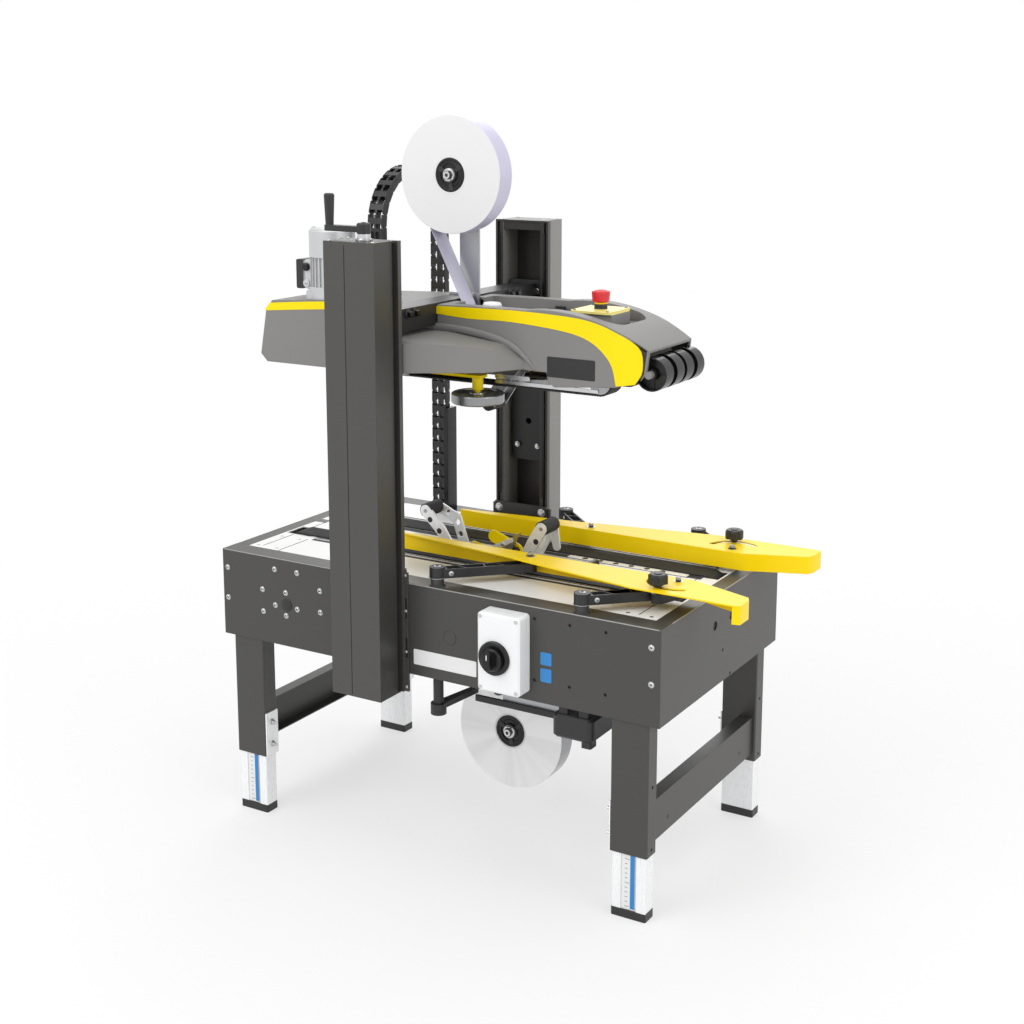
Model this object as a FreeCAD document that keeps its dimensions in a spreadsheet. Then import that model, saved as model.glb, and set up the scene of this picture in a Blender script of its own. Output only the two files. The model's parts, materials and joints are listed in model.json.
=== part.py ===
import FreeCAD, Part
import math
import os
import re
import Sketcher

# Carton sealer with belt drive, height-adjustable top head and linked side guides.
# All lengths are in millimetres and all angles in degrees.
# X runs along the belts, Y across the bed and Z up from the floor.
# The switch box is on the near side, towards -Y, and cartons enter at the +X end.
# Pieces are drawn from the middle of the bed and then moved, so that the middle of the
# whole machine is at the origin.

document = FreeCAD.newDocument("CartonSealer")
sheet = document.addObject("Spreadsheet::Sheet", "Sizes")

# Driving sizes: name, value and what it sets.
SIZES = [
    ("bed_length", 1100, "bed, outside, along the belts"),
    ("bed_width", 600, "bed, outside, across the belts"),
    ("deck_height", 620, "top of the deck above the floor"),
    ("panel_height", 200, "height of the bed panels"),
    ("steel", 3, "thickness of the sheet steel"),
    ("wall", 5, "wall of the moulded head cover"),
    ("seat_gap", 0.3, "gap of a sliding or turning seat"),
    ("carton_gap", 398, "height between the deck and the upper belts, as set"),
    ("side_flange", 50, "inward top flange of the side panels"),
    ("end_flange", 35, "inward top flange of the end panels"),
    ("foot_flange", 25, "inward bottom flange of the side panels"),
    ("small_hole", 3.5, "radius of the small fixing holes"),
    ("hole_grid_x", 269, "first column of fixing holes in the side panels"),
    ("hole_grid_step", 81, "step between the columns of fixing holes"),
    ("hole_grid_top", 22, "upper row of fixing holes below the deck"),
    ("hole_grid_drop", 129, "lower row of fixing holes below the upper one"),
    ("end_hole", 10, "radius of the two holes in an end panel"),
    ("end_hole_drop", 66, "holes of an end panel below the deck"),
    ("end_hole_half", 42, "holes of an end panel from the middle"),
    ("tape_slot_back", -250, "discharge end of the tape opening in the deck"),
    ("tape_slot_front", 225, "infeed end of the tape opening in the deck"),
    ("tape_slot_half", 36, "half width of the tape opening"),
    ("slot_round", 10, "corner radius of the tape opening"),
    ("belt_inner", 60, "inner edge of a lower belt from the middle"),
    ("belt_outer", 116, "outer edge of a lower belt from the middle"),
    ("belt_thick", 4, "thickness of a belt"),
    ("belt_edge", 1, "belt edge outside its pulley"),
    ("pulley_radius", 25, "radius of the belt pulleys"),
    ("pulley_inset", 74, "pulley centre inside the end of the bed"),
    ("pulley_drop", 80, "underside of a pulley bracket below the deck"),
    ("slot_play", 10, "play of the deck openings round a pulley"),
    ("slot_side", 3, "side play of the deck openings beside a belt"),
    ("axle", 8, "radius of the axles"),
    ("cheek", 6, "thickness of a pulley bracket"),
    ("cheek_half", 20, "half width of a pulley bracket"),
    ("leg_inset", 24, "leg sleeve inside the end of the bed"),
    ("leg_wide", 83, "leg sleeve, along the bed"),
    ("leg_deep", 42, "leg sleeve, across the bed"),
    ("leg_play", 5, "leg sleeve below the top flange"),
    ("leg_round", 4, "corner radius of a leg sleeve"),
    ("leg_bottom", 139, "lower end of the leg sleeves"),
    ("leg_hole_rise", 40, "upper sleeve holes above the cross channel"),
    ("leg_hole_low", 12, "lower sleeve holes above the end of the sleeve"),
    ("inner_leg_top", 331, "upper end of the inner legs"),
    ("groove_deep", 1.5, "depth of the ruler groove of an inner leg"),
    ("groove_half", 17, "half width of the ruler groove"),
    ("foot_high", 18, "height of a foot cap"),
    ("foot_lip", 1, "foot cap outside the leg"),
    ("bar_low", 156, "underside of the cross channel"),
    ("bar_high", 244, "top of the cross channel"),
    ("bar_deep", 30, "depth of the cross channel"),
    ("bar_inset", 8, "cross channel inside the face of the sleeves"),
    ("column_x", -118, "middle of the columns along the bed"),
    ("column_rise", 715, "upper end of the columns above the deck"),
    ("column_drop", 239, "lower end of the columns below the deck"),
    ("column_deep", 82, "column, across the bed"),
    ("column_wall", 6, "column wall"),
    ("column_mouth", 51, "half width of the column opening"),
    ("column_neck", 58, "half width of the column behind its flanges"),
    ("column_half", 63, "half width of the column"),
    ("groove_in", 60.5, "inner edge of the groove in a flange"),
    ("groove_out", 66.5, "outer edge of the groove in a flange"),
    ("groove_depth", 8, "depth of the groove in a flange"),
    ("flange_half", 72, "half width of the column over its flanges"),
    ("flange_thick", 12, "thickness of a column flange"),
    ("neck_high", 8, "neck between the flanges and the column body"),
    ("cap_thick", 5, "thickness of the column caps"),
    ("bridge_high", 18, "height of the upper cross plate of a column"),
    ("plate_high", 30, "height of the lower cross plate of a column"),
    ("strip_wide", 9, "mounting strip beside a column flange"),
    ("strip_rise", 24, "mounting strip above the deck"),
    ("slot_drop", 76, "upper strip slots below the deck"),
    ("slot_step", 87, "step between the strip slots"),
    ("slot_tall", 44, "length of a strip slot"),
    ("slot_edge", 2, "strip slot inside the edges of the strip"),
    ("switch_x", 208, "middle of the switch box"),
    ("switch_z", 512, "switch knob above the floor"),
    ("box_half", 50, "half width of the switch box"),
    ("box_deep", 42, "depth of the switch box"),
    ("box_below", 75, "switch box below the knob"),
    ("box_above", 92, "switch box above the knob"),
    ("box_round", 8, "corner radius of the switch box"),
    ("box_seam", 12, "seam of the switch box from the panel"),
    ("ring_thick", 6, "thickness of the ring behind the knob"),
    ("knob_x", 200, "switch knob along the bed"),
    ("knob_radius", 24, "switch knob"),
    ("knob_thick", 10, "disc of the switch knob"),
    ("grip_tall", 15, "grip bar of the switch knob"),
    ("grip_half", 7, "half width of the grip bar"),
    ("pin_radius", 6, "radius of the small pivot pins"),
    ("tray_x", 348, "middle of the tool tray"),
    ("tray_half", 47, "half length of the tool tray"),
    ("tray_deep", 100, "tool tray, across the bed"),
    ("tray_gap", 22, "tool tray below the side panel"),
    ("tray_high", 50, "height of the tool tray"),
    ("tray_round", 14, "corner radius of the tool tray"),
    ("tray_wall", 5, "wall of the tool tray"),
    ("tray_foot", 13, "foot below the tool tray"),
    ("lug_wide", 20, "width of a tray lug"),
    ("pivot_a", 20, "first guide arm pivot along the bed"),
    ("pivot_b", 365, "second guide arm pivot along the bed"),
    ("pivot_inset", 23, "guide arm pivots inside the side panel"),
    ("arm_rise", 16, "underside of the guide arms above the deck"),
    ("arm_thick", 20, "thickness of a guide arm"),
    ("arm_half", 13, "half width of a guide arm"),
    ("arm_dx", 143, "guide arm along the bed, as set"),
    ("arm_dy", 141, "guide arm across the bed, as set"),
    ("hub_radius", 17, "hub of a guide arm"),
    ("hub_step", 4, "hub above the top of the arm"),
    ("boss_radius", 14, "outer end of a guide arm"),
    ("post_step", 3, "post under a hub inside its edge"),
    ("rib", 3, "rib thickness of the cast arms"),
    ("rib_bays", 4, "pockets between the ribs of an arm"),
    ("window_deep", 7, "depth of the pockets of an arm"),
    ("shaft_radius", 11, "guide arm shafts"),
    ("shaft_long", 285, "long shaft below the deck"),
    ("shaft_short", 60, "short shaft below the deck"),
    ("lever_thick", 13, "thickness of the linkage lever"),
    ("lever_long", 120, "length of the linkage lever"),
    ("lever_hub", 24, "height of the hub of the linkage lever"),
    ("lever_turn", 37, "lever from its guide arm, turned in plan"),
    ("bolt_head", 6, "arm bolt above the guide"),
    ("bolt_radius", 5, "radius of the arm bolts"),
    ("slot_radius", 58, "radius of the arc slot of a guide"),
    ("slot_from", 197, "start angle of the arc slot"),
    ("slot_to", 305, "end angle of the arc slot"),
    ("stud_lean", 26.4, "angle of the clamp stud from the arm"),
    ("stud_radius", 5, "radius of the clamp stud"),
    ("pivot_play", 1.2, "play of the guide round its bolts"),
    ("knob_gap", 8, "clamp knob above the guide"),
    ("knob_tall", 20, "height of a clamp knob"),
    ("clamp_radius", 20, "radius of a clamp knob"),
    ("clamp_lobes", 6, "notches round a clamp knob"),
    ("notch_radius", 7, "notch of a clamp knob"),
    ("guide_rise", 48, "top of the guides above the deck"),
    ("guide_deep", 38, "height of the guides"),
    ("guide_sheet", 3, "thickness of the guides"),
    ("guide_inset", 22, "carton face of a guide inside its bolts"),
    ("guide_left", -175, "discharge end of the guides"),
    ("guide_bend", 540, "start of the flare"),
    ("guide_tip", 678, "infeed end of the guides"),
    ("guide_wide", 86, "outer edge of a guide beside its clamp"),
    ("guide_narrow", 26, "outer edge of a guide beside its first bolt"),
    ("guide_end", 10, "width of a guide at its discharge end"),
    ("flare", 56, "how far the flare opens"),
    ("tip_wide", 50, "wrapped width of the guide tip"),
    ("tip_round", 8, "bevel of the guide tip"),
    ("unit_half", 35, "half width of a tape unit"),
    ("unit_flange", 50, "outer edge of the flanges of the lower tape unit"),
    ("unit_drop", 150, "lower tape unit below the deck"),
    ("unit_back", 60, "lower tape unit behind its first pivot"),
    ("unit_front", 65, "lower tape unit in front of its second pivot"),
    ("unit_slope", 24, "corner bevels of the tape unit plates"),
    ("arm_left_x", -100, "pivot of the discharge roller arm"),
    ("arm_right_x", 75, "pivot of the infeed roller arm"),
    ("arm_pivot_drop", 20, "roller arm pivots below the deck"),
    ("arm_lean", 78, "roller of the discharge arm from its pivot, along the bed"),
    ("arm_roller_rise", 77, "rollers of the arms above the deck"),
    ("arm_eye", 13, "rounded ends of the roller arm plates"),
    ("arm_hole", 6.5, "lightening holes of the roller arm plates"),
    ("arm_plate_in", 22, "inner face of a roller arm plate"),
    ("arm_plate_out", 26, "outer face of a roller arm plate"),
    ("tape_roller", 16, "radius of the tape rollers"),
    ("roller_reach", 27, "half length of the tape rollers"),
    ("cutter_x", 30, "middle of the cutter"),
    ("cutter_half", 12, "half width of the cutter post"),
    ("cutter_y", -20, "guard plate of the cutter across the bed"),
    ("guard_reach", 30, "guard of the cutter to either side"),
    ("guard_end", 17, "lower end of the guard above the deck"),
    ("guard_rise", 40, "upper end of the guard above the deck"),
    ("cutter_round", 14, "rounded ends of the guard"),
    ("reel_x", -107, "upper reel along the bed"),
    ("reel_rise", 441, "upper reel above the upper belts"),
    ("reel_radius", 128, "upper reel"),
    ("peel_lean", 23.5, "where the tape leaves the upper reel, from straight below"),
    ("low_reel_x", 46, "lower reel along the bed"),
    ("low_reel_z", 210, "lower reel above the floor"),
    ("low_reel_radius", 134, "lower reel"),
    ("rail_left", 37, "discharge end of the rail in front of the lower reel"),
    ("rail_right", 300, "infeed end of the rail"),
    ("rail_out", 158, "rail from the middle of the bed"),
    ("rail_drop", 294, "underside of the rail below the deck"),
    ("rail_high", 14, "height of the rail"),
    ("strip_high", 36, "height of the strip behind the rail"),
    ("hanger_x", 104, "hanger of the rail"),
    ("hanger_wide", 32, "width of the hanger"),
    ("tape_width", 50, "width of the tape"),
    ("tape_thick", 0.8, "thickness of the tape run"),
    ("core_radius", 38, "outside of the reel core"),
    ("core_wall", 4, "wall of the reel core"),
    ("hub_dent", 3, "hub faces inside the reel faces"),
    ("spindle_radius", 15, "reel spindles"),
    ("spindle_out", 5, "spindle beyond the reel"),
    ("reel_arm_half", 20, "half width of the reel brackets"),
    ("reel_arm_back", 14, "upper reel bracket behind the reel centre"),
    ("reel_arm_front", 36, "upper reel bracket in front of the reel centre"),
    ("drum_x", -26, "tape drum of the upper unit"),
    ("drum_rise", 112, "tape drum above the upper belts"),
    ("drum_radius", 22, "tape drum"),
    ("upper_pivot_x", 60, "pivot of the upper roller arm"),
    ("upper_pivot_rise", 42, "pivot of the upper roller arm above the belts"),
    ("upper_roller_x", -10, "roller of the upper arm"),
    ("upper_roller_drop", 56, "roller of the upper arm below the belts"),
    ("upper_unit_low", 12, "underside of the upper unit above the belts"),
    ("beam_half", 30, "half width of the head beam"),
    ("beam_rise", 124, "underside of the head beam above the belts"),
    ("beam_high", 48, "height of the head beam"),
    ("slide_play", 5, "play of the carriages in the columns"),
    ("plate_long", 390, "carriage plates below the beam"),
    ("head_back", 580, "discharge end of the head from the middle of the bed"),
    ("head_half", 110, "half width of the head"),
    ("cover_low", 4, "underside of the cover above the belts"),
    ("arch_left", -165, "discharge end of the arch in the head sides"),
    ("arch_right", 190, "infeed end of the arch in the head sides"),
    ("arch_high", 44, "top of the arch above the belts"),
    ("keel_back", 22, "infeed foot of the arch above the belts"),
    ("keel_x", 205, "lowest point below the nose, along the bed"),
    ("keel_low", 14, "lowest point below the nose above the belts"),
    ("keel_high", 26, "start of the rise below the nose above the belts"),
    ("keel_end", 42, "end of the rise below the nose above the belts"),
    ("lip_low", 59, "front of the nose above the belts"),
    ("back_slope", 18, "slope of the discharge end of the head"),
    ("back_high", 148, "top of the cover at its discharge end"),
    ("back_chamfer", 26, "bevel of the upper discharge edge"),
    ("crown_end", 130, "where the crown turns down towards the nose"),
    ("crown_high", 170, "highest point of the cover above the belts"),
    ("crown_radius", 8800, "curve of the long crown"),
    ("crown_nose", 433, "curve of the front of the crown"),
    ("nose_tip", 412, "front of the head"),
    ("nose_lip", 6, "lip in front of the head"),
    ("lip_half", 100, "half width of the lip"),
    ("lip_high", 106, "lip above the belts"),
    ("nose_round", 66, "start of the rise below the nose"),
    ("nose_under", 14, "end of the rise below the nose"),
    ("well_left", -60, "discharge end of the well"),
    ("well_right", 335, "infeed end of the well"),
    ("well_half", 80, "half width of the well"),
    ("well_floor", 137, "floor of the well above the belts"),
    ("well_round", 40, "corner radius of the well"),
    ("notch_play", 2, "play round the beam and the tape drum"),
    ("lobe_low", 46, "underside of a lobe above the belts"),
    ("lobe_high", 113, "top of a lobe above the belts"),
    ("lobe_back", -178, "discharge end of a lobe"),
    ("lobe_reach", 284, "outer face of a lobe from the middle"),
    ("lobe_round", 24, "corner radius of a lobe"),
    ("lobe_front", -55, "where the outer face of a lobe ends"),
    ("lobe_shoulder", 85, "shoulder of a lobe"),
    ("lobe_mid", 196, "shoulder of a lobe from the middle"),
    ("lobe_end", 135, "infeed end of a lobe"),
    ("lobe_drop", 50, "how far the top of a lobe falls"),
    ("upper_belt_in", 40, "inner edge of an upper belt from the middle"),
    ("upper_belt_out", 90, "outer edge of an upper belt from the middle"),
    ("belt_rear", -380, "rear pulleys of the upper belts"),
    ("belt_front", 300, "front pulleys of the upper belts"),
    ("squeeze_x", 29, "squeezing rollers along the bed"),
    ("squeeze_y", 130, "squeezing rollers from the middle"),
    ("squeeze_half", 15, "half width of a squeezing bar"),
    ("squeeze_back", -170, "discharge end of the squeezing bars"),
    ("bar_rise", 23, "underside of the squeezing bars above the belts"),
    ("disc_radius", 57, "squeezing rollers"),
    ("disc_thick", 23, "thickness of a squeezing roller"),
    ("disc_drop", 9, "top of a squeezing roller below the belts"),
    ("disc_hub", 18, "hub of a squeezing roller"),
    ("tyre", 12, "tyre of a squeezing roller"),
    ("nose_x", 418, "nose wheels along the bed"),
    ("nose_rise", 57, "nose wheels above the belts"),
    ("nose_radius", 35, "nose wheels"),
    ("wheel_wide", 34, "width of a nose wheel"),
    ("wheel_gap", 6, "inner nose wheels from the middle"),
    ("motor_x", -412, "motor axis along the bed"),
    ("motor_y", -50, "motor axis across the bed"),
    ("motor_radius", 53, "motor body"),
    ("motor_rise", 140, "start of the motor above the belts"),
    ("motor_case", 32, "height of the motor foot"),
    ("motor_long", 111, "lower edge of the fan cover above the foot"),
    ("motor_high", 176, "top edge of the fan cover above the foot"),
    ("motor_foot", 46, "half width of the motor foot"),
    ("fin", 6, "depth of the cooling fins"),
    ("fin_count", 28, "cooling fins"),
    ("terminal_deep", 5, "terminal box outside the motor body"),
    ("terminal_half", 32, "half width of the terminal box"),
    ("terminal_lid", 20, "thickness of the terminal lid"),
    ("terminal_top", 104, "top of the terminal box above the foot"),
    ("stop_x", 254, "stop button along the bed"),
    ("plate_rise", 33, "stop plate above the well floor"),
    ("plate_half", 50, "half width of the stop plate"),
    ("plate_back", 48, "stop plate behind the button"),
    ("plate_front", 46, "stop plate in front of the button"),
    ("collar_radius", 14, "collar of the stop button"),
    ("collar_high", 4, "height of the collar"),
    ("neck_radius", 10.5, "neck of the collar"),
    ("neck_rise", 15, "top of the neck above the plate"),
    ("skirt_radius", 16.2, "inside of the skirt of the stop button"),
    ("skirt_low", 18, "outside of the skirt at its lower edge"),
    ("skirt_deep", 12, "depth of the skirt"),
    ("press_room", 11, "stop button above its collar"),
    ("stem_radius", 8, "stem of the stop button"),
    ("button_radius", 19.5, "stop button"),
    ("button_high", 27, "height of the stop button"),
    ("crank_x", -109, "crank axis along the bed"),
    ("crank_y", 40, "crank axis outside the bed"),
    ("crank_bush", 12, "bush below the crank"),
    ("crank_rise", 14, "height of the bush"),
    ("crank_hub", 14.5, "hub of the crank"),
    ("crank_high", 22, "height of the hub"),
    ("crank_thick", 12, "thickness of the crank arm"),
    ("crank_long", 86, "length of the crank arm"),
    ("grip_low", 8, "lower end of the grip"),
    ("grip_neck", 8.5, "neck of the grip"),
    ("grip_top", 11, "rounded top of the grip"),
    ("grip_high", 76, "height of the grip"),
    ("chain_x", -318, "energy chain along the bed"),
    ("chain_near", -5, "moving run of the energy chain"),
    ("chain_far", 250, "fixed run of the energy chain"),
    ("chain_wide", 40, "width of the energy chain"),
    ("chain_thick", 20, "thickness of the energy chain"),
    ("chain_bend", 316, "where the loop starts to bend above the upper belts"),
    ("link_pitch", 30, "pitch of the chain links"),
    ("link_edge", 8, "edges round the openings of a link"),
    ("link_count", 22, "links of the fixed run"),
    ("run_links", 4, "links of the moving run"),
    ("channel_high", 260, "height of the chain channel"),
]

# Heights on the head, counted from the running side of the upper belts.
BELT_PLANE = "(deck_height + carton_gap)"
BEAM_LOW = "(%s + beam_rise)" % BELT_PLANE
BEAM_TOP = "(%s + beam_rise + beam_high)" % BELT_PLANE
UPPER_PIVOT_Z = "(%s + upper_pivot_rise)" % BELT_PLANE
DRUM_Z = "(%s + drum_rise)" % BELT_PLANE
REEL_Z = "(%s + reel_rise)" % BELT_PLANE
NOSE_Z = "(%s + nose_rise)" % BELT_PLANE

ALIASES = set()

# Heights that several pieces share, as expressions.
HALF_BED = "(bed_width/2)"
HALF_LENGTH = "(bed_length/2)"
DECK_LOW = "(deck_height - steel)"
PANEL_LOW = "(deck_height - panel_height)"
CAP_TOP = "(deck_height + column_rise + cap_thick)"


def fill_sheet():
    """Writes the driving sizes into the spreadsheet."""
    for row, (name, value, note) in enumerate(SIZES, start=1):
        sheet.set("A%d" % row, name)
        sheet.set("B%d" % row, str(value))
        sheet.set("C%d" % row, note)
        sheet.setAlias("B%d" % row, name)
        ALIASES.add(name)
    document.recompute()


def sized(text):
    """Turns plain size names in an expression into spreadsheet references."""
    def swap(match):
        word = match.group(0)
        return "Sizes." + word if word in ALIASES else word
    return re.sub(r"[A-Za-z_]\w*", swap, str(text))


def value_of(text):
    """The present value of an expression."""
    return float(sheet.evalExpression(sized(text)))


def minus(text):
    """The same expression with the other sign."""
    return "-(%s)" % text


def plus(*texts):
    """The sum of several expressions."""
    return " + ".join("(%s)" % text for text in texts)


def place(thing, x="0", y="0", z="0"):
    """Binds an object's position, measured from the middle of the bed."""
    shift = "(head_back - guide_tip)/2"
    for axis, text in (("x", "%s + %s" % (x, shift)), ("y", y), ("z", z)):
        thing.setExpression(".Placement.Base." + axis, sized(text))
    return thing


def box(name, x1, x2, y1, y2, z1, z2):
    """A box between two corners given as expressions."""
    block = document.addObject("Part::Box", name)
    block.setExpression("Length", sized("(%s) - (%s)" % (x2, x1)))
    block.setExpression("Width", sized("(%s) - (%s)" % (y2, y1)))
    block.setExpression("Height", sized("(%s) - (%s)" % (z2, z1)))
    return place(block, x1, y1, z1)


TURNS = {
    "z": FreeCAD.Rotation(),
    "x": FreeCAD.Rotation(FreeCAD.Vector(0, 1, 0), 90),
    "y": FreeCAD.Rotation(FreeCAD.Vector(1, 0, 0), -90),
}


def rod(name, axis, radius, length, x, y, z):
    """A cylinder that starts at a point and runs along +X, +Y or +Z."""
    bar = document.addObject("Part::Cylinder", name)
    bar.Placement.Rotation = TURNS[axis]
    bar.setExpression("Radius", sized(radius))
    bar.setExpression("Height", sized(length))
    return place(bar, x, y, z)


def join(name, *shapes):
    """One solid made of several."""
    whole = document.addObject("Part::MultiFuse", name)
    whole.Shapes = list(shapes)
    return whole


def common(name, *shapes):
    """What several solids share."""
    shared = document.addObject("Part::MultiCommon", name)
    shared.Shapes = list(shapes)
    return shared


def cut(name, base, *tools):
    """A solid with one or more others taken away."""
    tool = tools[0] if len(tools) == 1 else join(name + "_tools", *tools)
    result = document.addObject("Part::Cut", name)
    result.Base = base
    result.Tool = tool
    return result


def mirror(name, source):
    """The same shape on the other side of the middle plane."""
    twin = document.addObject("Part::Mirroring", name)
    twin.Source = source
    twin.Normal = FreeCAD.Vector(0, 1, 0)
    twin.Base = FreeCAD.Vector(0, 0, 0)
    return twin


# Sketches: closed outlines, circles and links with every corner bound to the sizes.
PLANES = {"xy": "XY_Plane", "xz": "XZ_Plane", "yz": "YZ_Plane"}
AXES = {"x": "X_Axis", "y": "Y_Axis", "z": "Z_Axis"}


def origin_part(body, role):
    """A plane or axis of the body's own origin."""
    return [item for item in body.Origin.OriginFeatures if item.Role == role][0]


def new_sketch(body, plane, offset):
    """An empty sketch on a plane of the body, moved along its normal."""
    name = "%s_sketch_%d" % (body.Name, len(body.Group) + 1)
    drawing = body.newObject("Sketcher::SketchObject", name)
    drawing.AttachmentSupport = [(origin_part(body, PLANES[plane]), "")]
    drawing.MapMode = "FlatFace"
    drawing.setExpression(".AttachmentOffset.Base.z", sized(offset))
    return drawing


def bind(drawing, kind, places, text, value):
    """One driven dimension of a sketch."""
    number = drawing.addConstraint(Sketcher.Constraint(kind, *places, value))
    drawing.setExpression("Constraints[%d]" % number, sized(text))


def bind_point(drawing, item, spot, u, v):
    """Places a point of a sketch by two expressions."""
    bind(drawing, "DistanceX", (-1, 1, item, spot), u, value_of(u))
    bind(drawing, "DistanceY", (-1, 1, item, spot), v, value_of(v))


def arc_between(start, end, radius):
    """The short arc between two points; a positive radius bends to the left."""
    middle = (start + end).multiply(0.5)
    chord = end - start
    across = FreeCAD.Vector(-chord.y, chord.x, 0).normalize()
    rise = math.sqrt(max(radius * radius - chord.Length ** 2 / 4, 0))
    centre = middle + across * (rise if radius > 0 else -rise)
    angles = [math.atan2(point.y - centre.y, point.x - centre.x) for point in (start, end)]
    if radius < 0:
        angles.reverse()
    circle = Part.Circle(centre, FreeCAD.Vector(0, 0, 1), abs(radius))
    return Part.ArcOfCircle(circle, angles[0], angles[1])


def outline(drawing, points):
    """A closed outline; a third item of a point is the radius of the arc to the next one."""
    corners = [FreeCAD.Vector(value_of(point[0]), value_of(point[1]), 0) for point in points]
    count = len(points)
    first = drawing.GeometryCount
    ends = []
    for index, point in enumerate(points):
        start, end = corners[index], corners[(index + 1) % count]
        if len(point) > 2:
            radius = value_of(point[2])
            drawing.addGeometry(arc_between(start, end, radius), False)
            ends.append((1, 2) if radius > 0 else (2, 1))
        else:
            drawing.addGeometry(Part.LineSegment(start, end), False)
            ends.append((1, 2))
    for index in range(count):
        after = (index + 1) % count
        drawing.addConstraint(Sketcher.Constraint(
            "Coincident", first + index, ends[index][1], first + after, ends[after][0]))
    for index, point in enumerate(points):
        bind_point(drawing, first + index, ends[index][0], point[0], point[1])
        if len(point) > 2:
            size = point[2] if value_of(point[2]) > 0 else minus(point[2])
            bind(drawing, "Radius", (first + index,), size, value_of(size))


def circle(drawing, u, v, radius):
    """A full circle."""
    centre = FreeCAD.Vector(value_of(u), value_of(v), 0)
    item = drawing.addGeometry(
        Part.Circle(centre, FreeCAD.Vector(0, 0, 1), value_of(radius)), False)
    bind_point(drawing, item, 3, u, v)
    bind(drawing, "Radius", (item,), radius, value_of(radius))


def link(drawing, one, two):
    """The belt line round two circles, each given as (u, v, radius)."""
    spots = [FreeCAD.Vector(value_of(end[0]), value_of(end[1]), 0) for end in (one, two)]
    sizes = [value_of(end[2]) for end in (one, two)]
    gap = spots[1] - spots[0]
    heading = math.atan2(gap.y, gap.x)
    lean = math.acos((sizes[0] - sizes[1]) / gap.Length)
    normal = FreeCAD.Vector(0, 0, 1)
    sides = []
    for angle in (heading + lean, heading - lean):
        away = FreeCAD.Vector(math.cos(angle), math.sin(angle), 0)
        sides.append([spot + away * size for spot, size in zip(spots, sizes)])
    first = drawing.GeometryCount
    back = Part.ArcOfCircle(Part.Circle(spots[0], normal, sizes[0]), heading + lean,
                            heading - lean + 2 * math.pi)
    front = Part.ArcOfCircle(Part.Circle(spots[1], normal, sizes[1]), heading - lean, heading + lean)
    pieces = [back, Part.LineSegment(sides[1][0], sides[1][1]), front,
              Part.LineSegment(sides[0][1], sides[0][0])]
    drawing.addGeometry(pieces, False)
    for index in range(len(pieces)):
        drawing.addConstraint(Sketcher.Constraint(
            "Tangent", first + index, 2, first + (index + 1) % len(pieces), 1))
    for item, end in ((first, one), (first + 2, two)):
        bind_point(drawing, item, 3, end[0], end[1])
        bind(drawing, "Radius", (item,), end[2], value_of(end[2]))


def round_box(u1, v1, u2, v2, radius):
    """Corner points of a rectangle with rounded corners."""
    grow = lambda text: plus(text, radius)
    trim = lambda text: "(%s) - (%s)" % (text, radius)
    return [
        (grow(u1), v1), (trim(u2), v1, radius), (u2, grow(v1)), (u2, trim(v2), radius),
        (trim(u2), v2), (grow(u1), v2, radius), (u1, trim(v2)), (u1, grow(v1), radius),
    ]


# Solids: bodies made of pads, pockets, turned profiles and bevels.
def new_body(name):
    """An empty body at the middle of the bed."""
    return place(document.addObject("PartDesign::Body", name))


def layer(body, kind, plane, low, high, *shapes):
    """Adds or removes a profile between two distances along the normal of its plane."""
    towards_minus = plane == "xz"
    adding = kind == "Pad"
    if towards_minus:
        offset = minus(high) if adding else minus(low)
    else:
        offset = low if adding else high
    drawing = new_sketch(body, plane, offset)
    for shape in shapes:
        if isinstance(shape, list):
            outline(drawing, shape)
        elif len(shape) == 2:
            link(drawing, *shape)
        else:
            circle(drawing, *shape)
    feature = body.newObject("PartDesign::" + kind, "%s_%s_%d" % (body.Name, kind, len(body.Group)))
    feature.Profile = drawing
    feature.setExpression("Length", sized("(%s) - (%s)" % (high, low)))
    body.Tip = feature
    return feature


def prism(name, plane, low, high, *shapes):
    """A body made of one pad."""
    body = new_body(name)
    layer(body, "Pad", plane, low, high, *shapes)
    return body


def turned(name, axis, x, y, z, points):
    """A profile of (radius, height) points turned about an upright or a cross axis."""
    body = document.addObject("PartDesign::Body", name)
    drawing = new_sketch(body, "xz", "0")
    outline(drawing, points)
    feature = body.newObject("PartDesign::Revolution", name + "_turned")
    feature.Profile = drawing
    feature.ReferenceAxis = (origin_part(body, AXES["z"]), [""])
    feature.Angle = 360
    body.Tip = feature
    body.Placement.Rotation = TURNS[axis]
    return place(body, x, y, z)


def soften(body, size, test):
    """Bevels the edges that a test picks."""
    document.recompute()
    base = body.Tip
    picked = ["Edge%d" % number for number, edge in enumerate(base.Shape.Edges, start=1) if test(edge)]
    feature = body.newObject("PartDesign::Chamfer", "%s_bevel_%d" % (body.Name, len(body.Group)))
    feature.Base = (base, picked)
    feature.setExpression("Size", sized(size))
    body.Tip = feature
    return feature


def level(axis, text):
    """Picks edges that lie in a plane across an axis."""
    wanted = value_of(text)

    def test(edge):
        span = edge.BoundBox
        low, high = {"x": (span.XMin, span.XMax), "y": (span.YMin, span.YMax),
                     "z": (span.ZMin, span.ZMax)}[axis]
        return abs(low - wanted) < 1e-3 and abs(high - wanted) < 1e-3
    return test


def row(body, feature, axis, length, count):
    """Repeats a feature in a straight row."""
    pattern = body.newObject("PartDesign::LinearPattern", "%s_row_%d" % (body.Name, len(body.Group)))
    pattern.Originals = [feature]
    pattern.Direction = (origin_part(body, AXES[axis]), [""])
    pattern.setExpression("Length", sized(length))
    pattern.setExpression("Occurrences", sized(count))
    body.Tip = pattern
    return pattern


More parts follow.
